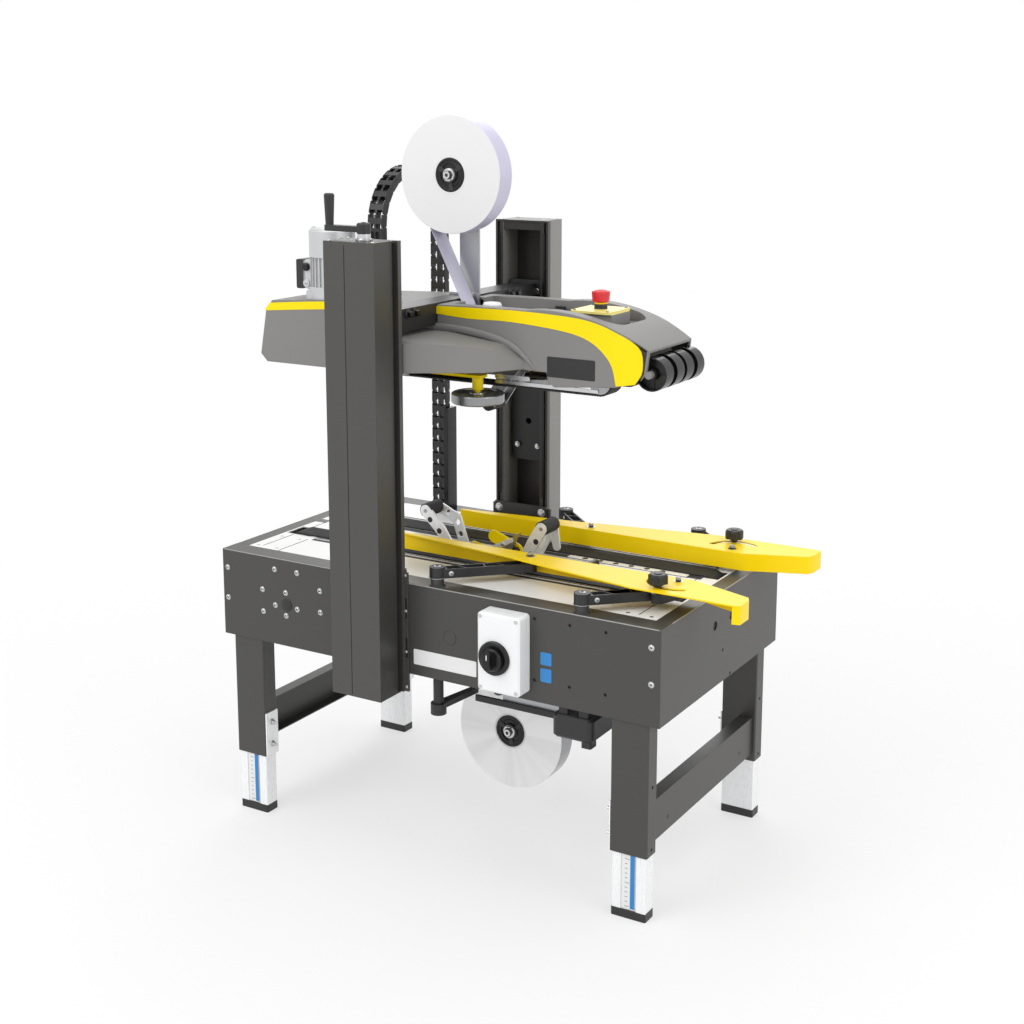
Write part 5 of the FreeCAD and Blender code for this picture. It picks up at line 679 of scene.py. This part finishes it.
def column_fittings():
    """Screws, seam covers and cap screws of the columns, and the carriages' bolts and blocks."""
    screws = Gather("column_screws", "frame", "bare_steel", "chrome", "dark")
    caps = Gather("column_trim", "frame", "column_paint", "gloss_black")
    bolts = Gather("carriage_bolts", "head", "bare_steel", "chrome", "black")
    for side in (-1, 1):
        inward, outward = (0, -side, 0), (0, side, 0)
        caps.put(plate(1.6, 950, 0.35), (-129, side * 382, 858), outward)
        for x in (-178, -58):
            screws.bolt(x, side * 294, 635, inward, 7.5)
            caps.put(plate(6, 640, 1.2), (x, side * 300.4, 990), inward)
        for x, y in product((-172, -64), (310, 374)):
            screws.screw(x, side * y, 1340, UP, 3.6)
        for x, z in product((-194, -42), (638, 560, 470, 392)):
            screws.screw(x, side * 306, z, outward, 3.0)
        for step in range(9):
            for x in (-184, -52):
                caps.put(lathe([(0, 0), (2.6, 0), (2.4, 1.4), (0, 1.4)], 12), (x, side * 300.2, 700 + 66 * step),
                         inward)
        for x in (-157, -86):
            bolts.bolt(x, side * 322, 1172, inward, 8)
        bolts.put(plate(86, 30, 8, 2), (COLUMN_X, side * 324, 1182), inward, 1)
        for z, x in product((790, 1090), (-146, -90)):
            bolts.bolt(x, side * 328, z, inward, 5)
    screws.make()
    caps.make()
    bolts.make()


# Guide arms: from the foot to the guide, and the clamp knob in its arc slot.
ARM_LENGTH, SLOT_RADIUS, SLOT_TURN = 200.8, 58, radians(26.4)


def guide_fittings():
    """Bolts and washers on the guides and the arm hubs."""
    for side, name in ((-1, "near"), (1, "far")):
        tops = Gather("guide_bolts_" + name, "guide_" + name, "bare_steel", "chrome")
        for x in (163, 508):
            tops.put(hoop(7.2, 9.6, 0.2, 1.2, 28), (x, side * 136, 668), UP)
        tops.make()
        long = Vector((143, -side * 141, 0)).normalized()
        across = Vector((-long.y, long.x, 0))
        for mark, x in (("left", 20), ("right", 365)):
            arm = "%s_%s" % (name, mark)
            hub = Gather("arm_bolts_" + arm, "guide_arm_" + arm, "bare_steel", "chrome", "black", "steel")
            foot = Vector((x, side * 277, 0))
            hub.put(lathe([(0, 0), (7.5, 0), (7.5, 0.8), (4.5, 1.5), (0, 1.2)], 28), (foot.x, foot.y, 660), UP, 2)
            # A thin black hexagon on the hub stands for its socket: painted shade in the recess.
            hub.add(hexagon(3.4, 661.5, 662.2), moved(foot), 1)
            for flip in (-1, 1):
                place = foot + long * 27 + across * 12.4 * flip
                hub.screw(place.x, place.y, 646, across * flip, 4.2)
            hub.add(hoop(12, 18.5, 636.4, 637.6, 36), moved(foot), 2)
            end = foot + long * ARM_LENGTH
            hub.bolt(end.x, end.y, 672.5, UP, 5.4, 2)
            if mark == "right":
                clamp = (foot + long * (ARM_LENGTH - SLOT_RADIUS * cos(SLOT_TURN))
                         + across * SLOT_RADIUS * sin(SLOT_TURN) * side)
                hub.put(lathe([(0, 0), (8, 0), (8, 1.2), (0, 1.6)]), (clamp.x, clamp.y, 696), UP, 1)
            hub.make()


# Head: stripes, top plates and the parts on it.
STRIPE_LOW = ((-97, 1167), (-3, 1161), (83, 1162), (179, 1156), (248, 1147), (288, 1134), (319, 1112), (339, 1085),
              (348, 1047))
STRIPE_HIGH = ((-97, 1183), (-2, 1185), (125, 1186), (247, 1181), (307, 1171), (358, 1152), (389, 1135), (402, 1119),
               (405, 1095), (402, 1074), (388, 1053))
CHEEK = ((370, 1049), (388, 1057), (402, 1068), (409, 1080), (414, 1119), (398, 1127), (370, 1138))
REAR_LOW = ((-566, 1141), (-391, 1155), (-182, 1166))
REAR_HIGH = ((-550, 1160), (-390, 1173), (-182, 1182))


def along(points, share):
    """A point at a share of a line's length, smoothed through its corners."""
    spots = [Vector(point) for point in points]
    lengths = [(b - a).length for a, b in zip(spots, spots[1:])]
    goal = share * sum(lengths)
    for index, length in enumerate(lengths):
        if goal <= length or index == len(lengths) - 1:
            part = min(goal / length, 1)
            before = spots[index - 1] if index else spots[index] * 2 - spots[index + 1]
            after = spots[index + 2] if index + 2 < len(spots) else spots[index + 1] * 2 - spots[index]
            return catmull(before, spots[index], spots[index + 1], after, part)
        goal -= length


def catmull(a, b, c, d, part):
    """The smooth curve through b and c."""
    return 0.5 * (2 * b + (c - a) * part + (2 * a - 5 * b + 4 * c - d) * part ** 2
                  + (3 * b - a - 3 * c + d) * part ** 3)


def side_face(x):
    """Half width of the head at a place along it."""
    return 110 if x < 346 else 110 - 10 * (x - 346) / 77


def stripe(gather, low, high, side, count):
    """A thin curved band on a side of the head, six strips of faces across."""
    across = 6
    verts, faces = [], []
    wide = across + 1
    for step in range(count + 1):
        first, last = along(low, step / count), along(high, step / count)
        for proud in (-0.6, 0.9):
            for part in range(wide):
                spot = first.lerp(last, part / across)
                verts.append((spot.x, side * (side_face(spot.x) + proud), spot.y))
    for step in range(count):
        a, b = step * 2 * wide, (step + 1) * 2 * wide
        for part in range(across):
            faces.append((a + part, b + part, b + part + 1, a + part + 1))
            faces.append((a + wide + part, a + wide + part + 1, b + wide + part + 1, b + wide + part))
        faces.append((a, a + wide, b + wide, b))
        faces.append((a + across, b + across, b + wide + across, a + wide + across))
    for start in (0, count * 2 * wide):
        faces.append([start + part for part in range(wide)] + [start + wide + part for part in range(wide)][::-1])
    gather.add((verts, faces))


def head_stripes():
    """The yellow bands on both sides of the head, and the cheeks that close its nose, dark as painted shade under the
    nose lip.
    """
    bands = Gather("head_stripes", "head", "yellow_paint", "yellow")
    for side in (-1, 1):
        stripe(bands, STRIPE_LOW, STRIPE_HIGH, side, 48)
        stripe(bands, REAR_LOW, REAR_HIGH, side, 10)
    bands.make(angle=50)
    # The cheeks close the open sides of the nose; their dark finish is painted shade under the lip.
    cheeks = Gather("nose_cheeks", "head", "black_plastic", "dark")
    count = len(CHEEK)
    faces = [tuple(range(count)), tuple(range(count, 2 * count))[::-1]] + prism(CHEEK, 0, 1)[1][2:]
    for side in (-1, 1):
        cheeks.add(([(x, side * (side_face(x) - deep), z) for deep in (1.2, 3.0) for x, z in CHEEK], faces))
    cheeks.make(angle=50)


def head_top():
    """Screws, bright strips, latch, drum, gland, plugs and blank plates on the head."""
    screws = Gather("head_screws", "head", "bare_steel", "chrome", "dark")
    for x, y in product((60, 150), (-68, 68)):
        screws.screw(x, y, HEAD_TOP, UP, 4.0)
    for side in (-1, 1):
        for x, z, long, high in ((173, 1028, 250, 8), (91, 1039.5, 86, 10)):
            screws.put(plate(long, high, 0.9, 3), (x, side * 90.3, z), (0, side, 0))
    screws.make()
    trim = Gather("head_trim", "head", "black_plastic", "gloss_black", "white", "black")
    trim.put(lathe([(0, 0), (21, 0), (21, 24), (18, 28), (0, 29)], 40), (-16, 2, HEAD_TOP), UP, 1)
    trim.put(plate(40, 12, 16, 3), (112, 62, HEAD_TOP), UP)
    trim.put(plate(24, 8, 22, 2), (120, 66, HEAD_TOP), UP, 2)
    for y in (-221, -194, 194, 221):
        trim.put(lathe([(0, 0), (9.5, 0), (9.5, 3), (7, 4), (0, 4)], 28), (-88, y, 1178), (1, 0, 0), 2)
        trim.put(hexagon(7, 4, 13), (-88, y, 1178), (1, 0, 0), 0, 0.3)
    for side in (-1, 1):
        trim.put(plate(113, 43, 0.6, 3), (243.5, side * 110, 1074.5), (0, side, 0), 2)
    trim.make(width=0.6)


LOBE_EDGE = ((-176, 1137), (-60, 1138), (10, 1133), (70, 1122), (110, 1106), (140, 1084), (158, 1064))


def lobe_beads():
    """Raised rims where the side housings meet the head."""
    beads = Gather("lobe_beads", "head", "cover_plastic", "shell")
    count, size = 40, 10
    for side in (-1, 1):
        verts = []
        for step in range(count + 1):
            share = step / count
            spot = along(LOBE_EDGE, share)
            after = along(LOBE_EDGE, min(share + 0.01, 1)) - along(LOBE_EDGE, max(share - 0.01, 0))
            normal = Vector((-after.y, after.x)).normalized()
            thick = 5.5 * min(1, 4 * (1 - share) + 0.25)
            for part in range(size):
                turn = 2 * pi * part / size
                out = side * (side_face(spot.x) + thick * 0.35 + thick * cos(turn) * 0.8)
                verts.append((spot.x + normal.x * thick * sin(turn) * 1.6, out,
                              spot.y + normal.y * thick * sin(turn) * 1.6))
        faces = tube(count + 1, size) + [tuple(range(size)), tuple(range(count * size, (count + 1) * size))]
        beads.add((verts, faces))
    beads.make(angle=60)


STOP_X = 254


def stop_fittings():
    """Ring below the cap, screws of the plate and marks of the stop button."""
    ring = Gather("stop_ring", "head", "black_plastic", "yellow", "dark", "black")
    ring.put(hoop(10.6, 13.2, 0, 3.2, 48), (STOP_X, 0, 1198.6), UP)
    ring.put(lathe([(10.6, 0), (14, 0), (13.6, 6.4), (10.6, 6.4), (10.6, 0)], 48), (STOP_X, 0, 1192), UP, 2)
    for x, y in product((214, 292), (-42, 42)):
        ring.put(lathe([(0, 0), (3.4, 0), (3.2, 1.0), (0, 1.2)], 20), (x, y, 1188), UP, 1)
    ring.make()
    marks = Gather("stop_marks", "stop_button", "red_plastic", "white")
    for step in range(3):
        turn = Matrix.Rotation(radians(120 * step), 4, "Z")
        marks.add(prism([(-2.2, -1.6), (2.2, 0), (-2.2, 1.6)], 0, 1.6),
                  moved((STOP_X, 0, 0)) @ turn @ moved((12, 0, 1227.2)))
    marks.make()


def motor_fittings():
    """Gland, plug, tie bolts and foot bolts of the gear motor."""
    black = Gather("motor_cover", "head", "black_plastic", "gloss_black")
    black.put(lathe([(0, 0), (9.5, 0), (9.5, 4), (7, 8), (0, 8)]), (-462, -82, 1245), NEAR)
    black.make(width=0.8)
    bright = Gather("motor_screws", "head", "bare_steel", "chrome", "dark", "cast")
    for turn in (35, 145, 215, 325):
        x = -412 + 42 * cos(radians(turn))
        y = -50 + 42 * sin(radians(turn))
        bright.bolt(x, y, 1334.2, UP, 3.4)
    bright.put(lathe([(0, 0), (9, 0), (9, 3), (4, 3.4), (0, 2)]), (-462, -82, 1208), NEAR, 2)
    bright.screw(-462, -85, 1208, NEAR, 3.2)
    for x, y in product((-449, -375), (-87, -13)):
        bright.bolt(x, y, 1190, UP, 6)
    bright.make()


def reel_fittings(node, x, z):
    """Core ring, recessed hub, spokes and rim marks on both faces of a reel."""
    hub = Gather(node + "_hub", node, "black_plastic", "gloss_black", "black", "film_edge")
    for side in (-1, 1):
        place = facing(x, side * 22, z, (0, side, 0))
        hub.add(lathe([(15.3, -1), (37.4, -1), (37.4, 2.6), (35.4, 3.1), (32.6, 3.1), (31.6, 1.6), (27.6, 1.6),
                       (26.6, 2.8), (24.8, 2.8), (24.0, 0.2), (18.6, 0.2), (17.8, 3.0), (15.3, 3.0), (15.3, -1)], 64),
                place)
        for step in range(3):
            hub.add(prism([(17, -4.2), (35, -6.0), (35, 6.0), (17, 4.2)], 0.4, 2.9),
                    place @ Matrix.Rotation(radians(120 * step + 34), 4, "Z"), 1)
        hub.add(hoop(37.8, 41.6, 0.2, 3.06, 64), place, 2)
    hub.make(angle=35)


def spindle_fittings(body, x, z):
    """Washer and nut on a spindle."""
    nut = Gather("spindle_nut_" + body, body, "bare_steel", "chrome", "dark", "gloss_black")
    for shape, kind in ((lathe([(0, 0), (14.5, 0), (14.5, 1.6), (12.8, 3.0), (0, 3.0)], 32), 0),
                        (hexagon(10.5, 3.0, 7.5), 2), (hoop(4.0, 8.2, 7.5, 9.2, 28), 0), (disc(4.0, 7.5, 7.9, 20), 1)):
        nut.put(shape, (x, -30, z), NEAR, kind)
    nut.make(angle=30)


def strap(points, radius, low, high):
    """A flat plate with round ends along a line, drawn in X and Z, between two places across the bed."""
    shapes = []
    for (ax, az), (bx, bz) in zip(points, points[1:]):
        angle = atan2(bz - az, bx - ax)
        outline = []
        for (x, z), start in (((ax, az), angle + pi / 2), ((bx, bz), angle - pi / 2)):
            for step in range(13):
                turn = start + pi * step / 12
                outline.append((x + radius * cos(turn), z + radius * sin(turn)))
        shapes.append(upright(outline, low, high))
    return shapes


def arm_cheeks():
    """Outer cheeks, dark discs painted at the holes as their shade, and roller caps of the two lower roller arms."""
    for mark, line, holes in (
            ("left", ((-178, 697), (-139, 658.5), (-104, 607)), ((-165.5, 677.7), (-140.6, 654.6))),
            ("right", ((127, 697), (104, 660), (78, 607)), ((114, 666.2),))):
        cheek = Gather("arm_cheeks_" + mark, "roller_arm_" + mark, "bare_steel", "alu", "dark", "steel")
        for number, shape in enumerate(strap(line, 13.6, -28.6, -27.0)):
            cheek.add(shape, moved((0, -0.02 * number, 0)))
        # Dark discs over the holes: painted shade in them.
        for x, z in holes:
            cheek.put(disc(6.5, 0, 0.3, 28), (x, -28.65, z), NEAR, 1)
        x, z = line[0]
        cheek.put(lathe([(0, 0), (4.6, 0), (4.4, 0.9), (0, 1.1)]), (x, -28.6, z), NEAR, 2)
        cheek.make(angle=30)


def cutter_fittings():
    """Blade holder, blade, bolt and wire of the cutter."""
    bits = Gather("cutter_parts", "frame", "bare_steel", "alu", "gloss_black", "yellow", "chrome")
    bits.add(*strap(((0, 634), (52, 661)), 5.5, -31.5, -29.0))
    bits.add(upright([(44, 660), (60, 652), (78, 683), (70, 680)], -31.0, -29.6), kind=3)
    bits.put(lathe([(0, 0), (8.5, 0), (8.5, 9), (6, 12), (0, 12)], 28), (60, -20, 637), NEAR, 1)
    bits.add(*strap(((-51, 642), (-8, 634)), 1.8, -26, -22.5), kind=2)
    bits.bolt(30, -31.5, 649.5, NEAR, 3.4, 3)
    bits.make(width=0.3)


def wheel_discs():
    """Closed middles of the nose wheels and the drums between them."""
    discs = Gather("wheel_discs", "nose_wheels", "black_plastic", "dark")
    for places, radius, half in (((-75, -23, 23, 75), 31.9, 0.8), ((-49, 49), 28, 8.5)):
        for y in places:
            discs.put(hoop(12.5, radius, -half, half, 48), (418, y, 1075), ALONG_Y)
    discs.make(angle=35)


def switch_fittings():
    """Lid screws, ring and the cable gland of the switch box, and the face of its knob."""
    lid = Gather("switch_lid", "frame", "white_plastic", "gloss_black", "chrome", "black")
    for x, z in product((166, 250), (446, 596)):
        lid.put(lathe([(0, 0), (4.2, 0), (4.0, 1.0), (1.8, 1.3), (0, 0.7)], 20), (x, -342, z), NEAR, 1)
    lid.put(lathe([(25.5, 0), (36, 0), (35.4, 5.0), (33, 6.6), (27, 6.6), (25.5, 6.0), (25.5, 0)], 64),
            (200, -342, 512), NEAR)
    lid.put(lathe([(0, 0), (11, 0), (11, 6), (8.5, 9), (0, 9)]), (196, -318, 436), (0, 0, -1), 2)
    lid.make(angle=35)
    knob = Gather("switch_mark", "switch_knob", "black_plastic", "white")
    knob.put(plate(2.2, 11, 0.5, 1), (200, -373.2, 522), NEAR)
    knob.make()


def crank_fittings():
    """Cap, screw and flange of the crank."""
    bits = Gather("crank_bits", "crank", "black_plastic", "chrome", "gloss_black")
    bits.put(lathe([(0, 0), (5, 0), (4.6, 1.6), (0, 2.0)]), (-109, -340, 1376), UP, 1)
    bits.put(lathe([(12.1, 0), (17.5, 0), (17.5, 3.4), (14.4, 4.4), (14.4, 12.6), (12.1, 12.6), (12.1, 0)], 40),
             (-109, -340, 1340.4), UP)
    bits.make(angle=30)


# Energy chain: its fixed run goes up from the deck at CHAIN_FAR and bends towards the head.
LINK_WIDE, LINK_THICK, LINK_PITCH = 40, 20, 30
CHAIN_X, CHAIN_NEAR, CHAIN_FAR, CHAIN_TOP = -318, -5, 250, 1334


def chain_links():
    """Links of the energy chain along its fixed run and round its bend."""
    bend = (CHAIN_FAR - CHAIN_NEAR) / 2
    links = Gather("chain_links", "frame", "black_plastic", "black", "gloss_black")
    run = CHAIN_TOP - DECK_TOP
    total = run + pi * bend
    count = int(total / LINK_PITCH)
    for step in range(count):
        spot = (step + 0.5) * total / count
        if spot < run:
            place = moved((CHAIN_X, CHAIN_FAR, DECK_TOP + spot))
        else:
            turn = (spot - run) / bend
            y = (CHAIN_NEAR + CHAIN_FAR) / 2 + bend * cos(turn)
            place = moved((CHAIN_X, y, CHAIN_TOP + bend * sin(turn))) @ Matrix.Rotation(turn, 4, "X")
        add_link(links, place, total / count)
    links.add(prism([(-298, 230), (-286, 230), (-286, 270), (-298, 270), (-298, 262), (-293, 262), (-293, 238),
                     (-298, 238)], DECK_TOP, 880), None, 1)
    links.make(width=0.5, nodes=("chain_loop",))


def add_link(gather, place, pitch):
    """Side plates, cross bars and pivot discs of one link."""
    half, wide, thick = pitch / 2, LINK_WIDE / 2, LINK_THICK / 2
    on_edge = Matrix.Rotation(pi / 2, 4, "Z") @ Matrix.Rotation(pi / 2, 4, "X")
    for flip in (-1, 1):
        side = prism([(-thick, -half), (thick - 1, -half), (thick, 2 - half), (thick, half - 5), (thick - 4, half),
                      (4 - thick, half), (-thick, half - 5)], 0, 3)
        gather.add(side, place @ (moved((flip * wide - (3 if flip > 0 else 0), 0, 0)) @ on_edge))
        pivot = facing(flip * wide - flip * 0.2, 0, -half + 5, (flip, 0, 0))
        gather.add(lathe([(0, -1), (6, -1), (6, -0.1), (4, 0.15), (0, 0.15)], 20), place @ pivot, 1)
    for level in (-thick + 1, thick - 1):
        bar = prism([(x * (wide - 3), y * 1.5) for x, y in CORNERS], -7, 7)
        gather.add(bar, place @ moved((0, level * 0.9, 0)))
    gather.add(prism([(x * 3, y * (thick - 1)) for x, y in CORNERS], -half, half), place)


# Dressed nodes.
def inside_column(spot, normal):
    """Faces of a column that look into it or towards the bed, painted darker as the shade there."""
    y, away = abs(spot.y), abs(spot.x - COLUMN_X)
    return (away < 56 and y < 377) or (y < 313 and away < 71 and spot.z > 600)


ROLLER_RADIUS = 16


def roller_zone(x, z):
    """Faces of the roller of an arm."""
    def test(spot, normal):
        past = hypot(spot.x - x, spot.z - z) - ROLLER_RADIUS
        return past < 0.6 and (past > -2.5 or abs(spot.y) > 26.2)
    return test


def reel_side(spot, normal):
    """Side faces of a reel."""
    return abs(normal.y) > 0.7


def column_zones(shade):
    """Zones of a column: its inside, painted darker as shade, and its infeed side, painted darker as shade on the near
    column and lighter as a sheen on the far one.
    """
    return [(inside_column, "inside"),
            (lambda spot, normal: normal.x > 0.6 and abs(spot.y) > 306 and spot.z > 380, shade)]


def dress_frame():
    """Bed, legs, columns and guides with rounded edges and their finishes."""
    for node in ("bed_side_near", "bed_side_far", "bed_end_left", "bed_end_right", "leg_frame_left",
                 "leg_frame_right"):
        dress(node, "panel", 0.9)
    dress("deck_plate", "deck", 0.6, [(lambda spot, normal: spot.z < 616.9, "steel")])
    for node in ("leg_near_left", "leg_far_left", "leg_near_right", "leg_far_right"):
        dress(node, "alu", 0.8, [(lambda spot, normal: spot.z < 18.1, "black")])
    # The infeed side is painted darker as shade on the near column and lighter as a sheen on the far one.
    dress("column_near", "column", 1.6, column_zones("painted_shade_side"))
    dress("column_far", "column", 1.6, column_zones("painted_sheen_side"))
    dress("switch_box", "white", 1.2, [(lambda spot, normal: spot.y < -342.2, "gloss_black")])
    dress("switch_knob", "gloss_black", 0.9)
    dress("tool_tray", "black", 2.0)
    for name in ("near", "far"):
        dress("guide_" + name, "amber")
        dress("guide_arm_%s_left" % name, "black")
        dress("guide_arm_%s_right" % name, "black")


def dress_tape_units():
    """Tape units, their arms and reels."""
    guard = lambda spot, normal: -20.5 < spot.y < -13.5 and spot.z > 617 and spot.x > -20
    rail = lambda spot, normal: spot.y < -151.9 and spot.z < 341
    dress("tape_head_lower", "steel", 0.5, [(guard, "yellow"), (rail, "black")])
    dress("tape_head_upper", "steel", 0.5)
    dress("roller_arm_left", "alu", 0.6, [(roller_zone(-178, 697), "rubber")])
    dress("roller_arm_right", "alu", 0.6, [(roller_zone(127, 697), "rubber")])
    dress("roller_arm_upper", "turned", 0.6, [(roller_zone(-10, 962), "rubber")])
    dress("reel_upper", "film", 1.0, [(reel_side, "film_edge")])
    dress("reel_lower", "clear_film", 1.0, [(reel_side, "clear_edge")])
    dress("tape_web", "web", 0.0)


def dress_head():
    """Head, its squeezing rollers, drive, stop button and crank."""
    pulley = lambda spot, normal: (1017 < spot.z < 1076.5 and abs(spot.y) < 91
                                   and (abs(spot.x + 380) < 26 or abs(spot.x - 300) < 26))
    dress("head_cover", "shell", 2.5, [(pulley, "steel")])
    dress("head_beam", "black", 1.0)
    for name in ("near", "far"):
        dress("squeeze_arm_" + name, "yellow", 0.8)
        dress("squeeze_roller_" + name, "turned", 1.2)
    dress("nose_wheels", "gloss_black", 0.8)
    dress("gear_motor", "cast", 1.0, [(lambda spot, normal: spot.x < -470.2 and spot.z > 1193, "black")])
    dress("stop_base", "pale_yellow", 0.8, [(lambda spot, normal: spot.z < 1181.5, "shell"),
                                            (lambda spot, normal: spot.z > 1188.5, "black")])
    dress("stop_button", "red", 1.2)
    dress("crank", "black", 0.8, [(lambda spot, normal: spot.z < 1354.2, "chrome")])


def dress_nodes():
    """Every rigid node with rounded edges and its finishes."""
    dress_frame()
    dress_tape_units()
    dress_head()
    materials = frame["nodes"]["chain_run"].data.materials
    materials.clear()
    materials.append(MATERIALS["black"])


add_camera()
make_materials()
add_studio()
dress_nodes()
bed_fittings()
deck_fittings()
belts()
leg_fittings()
column_fittings()
guide_fittings()
head_stripes()
head_top()
lobe_beads()
stop_fittings()
motor_fittings()
reel_fittings("reel_upper", *UPPER_REEL)
reel_fittings("reel_lower", *LOWER_REEL)
spindle_fittings("head", *UPPER_REEL)
spindle_fittings("frame", *LOWER_REEL)
arm_cheeks()
cutter_fittings()
wheel_discs()
switch_fittings()
crank_fittings()
chain_links()
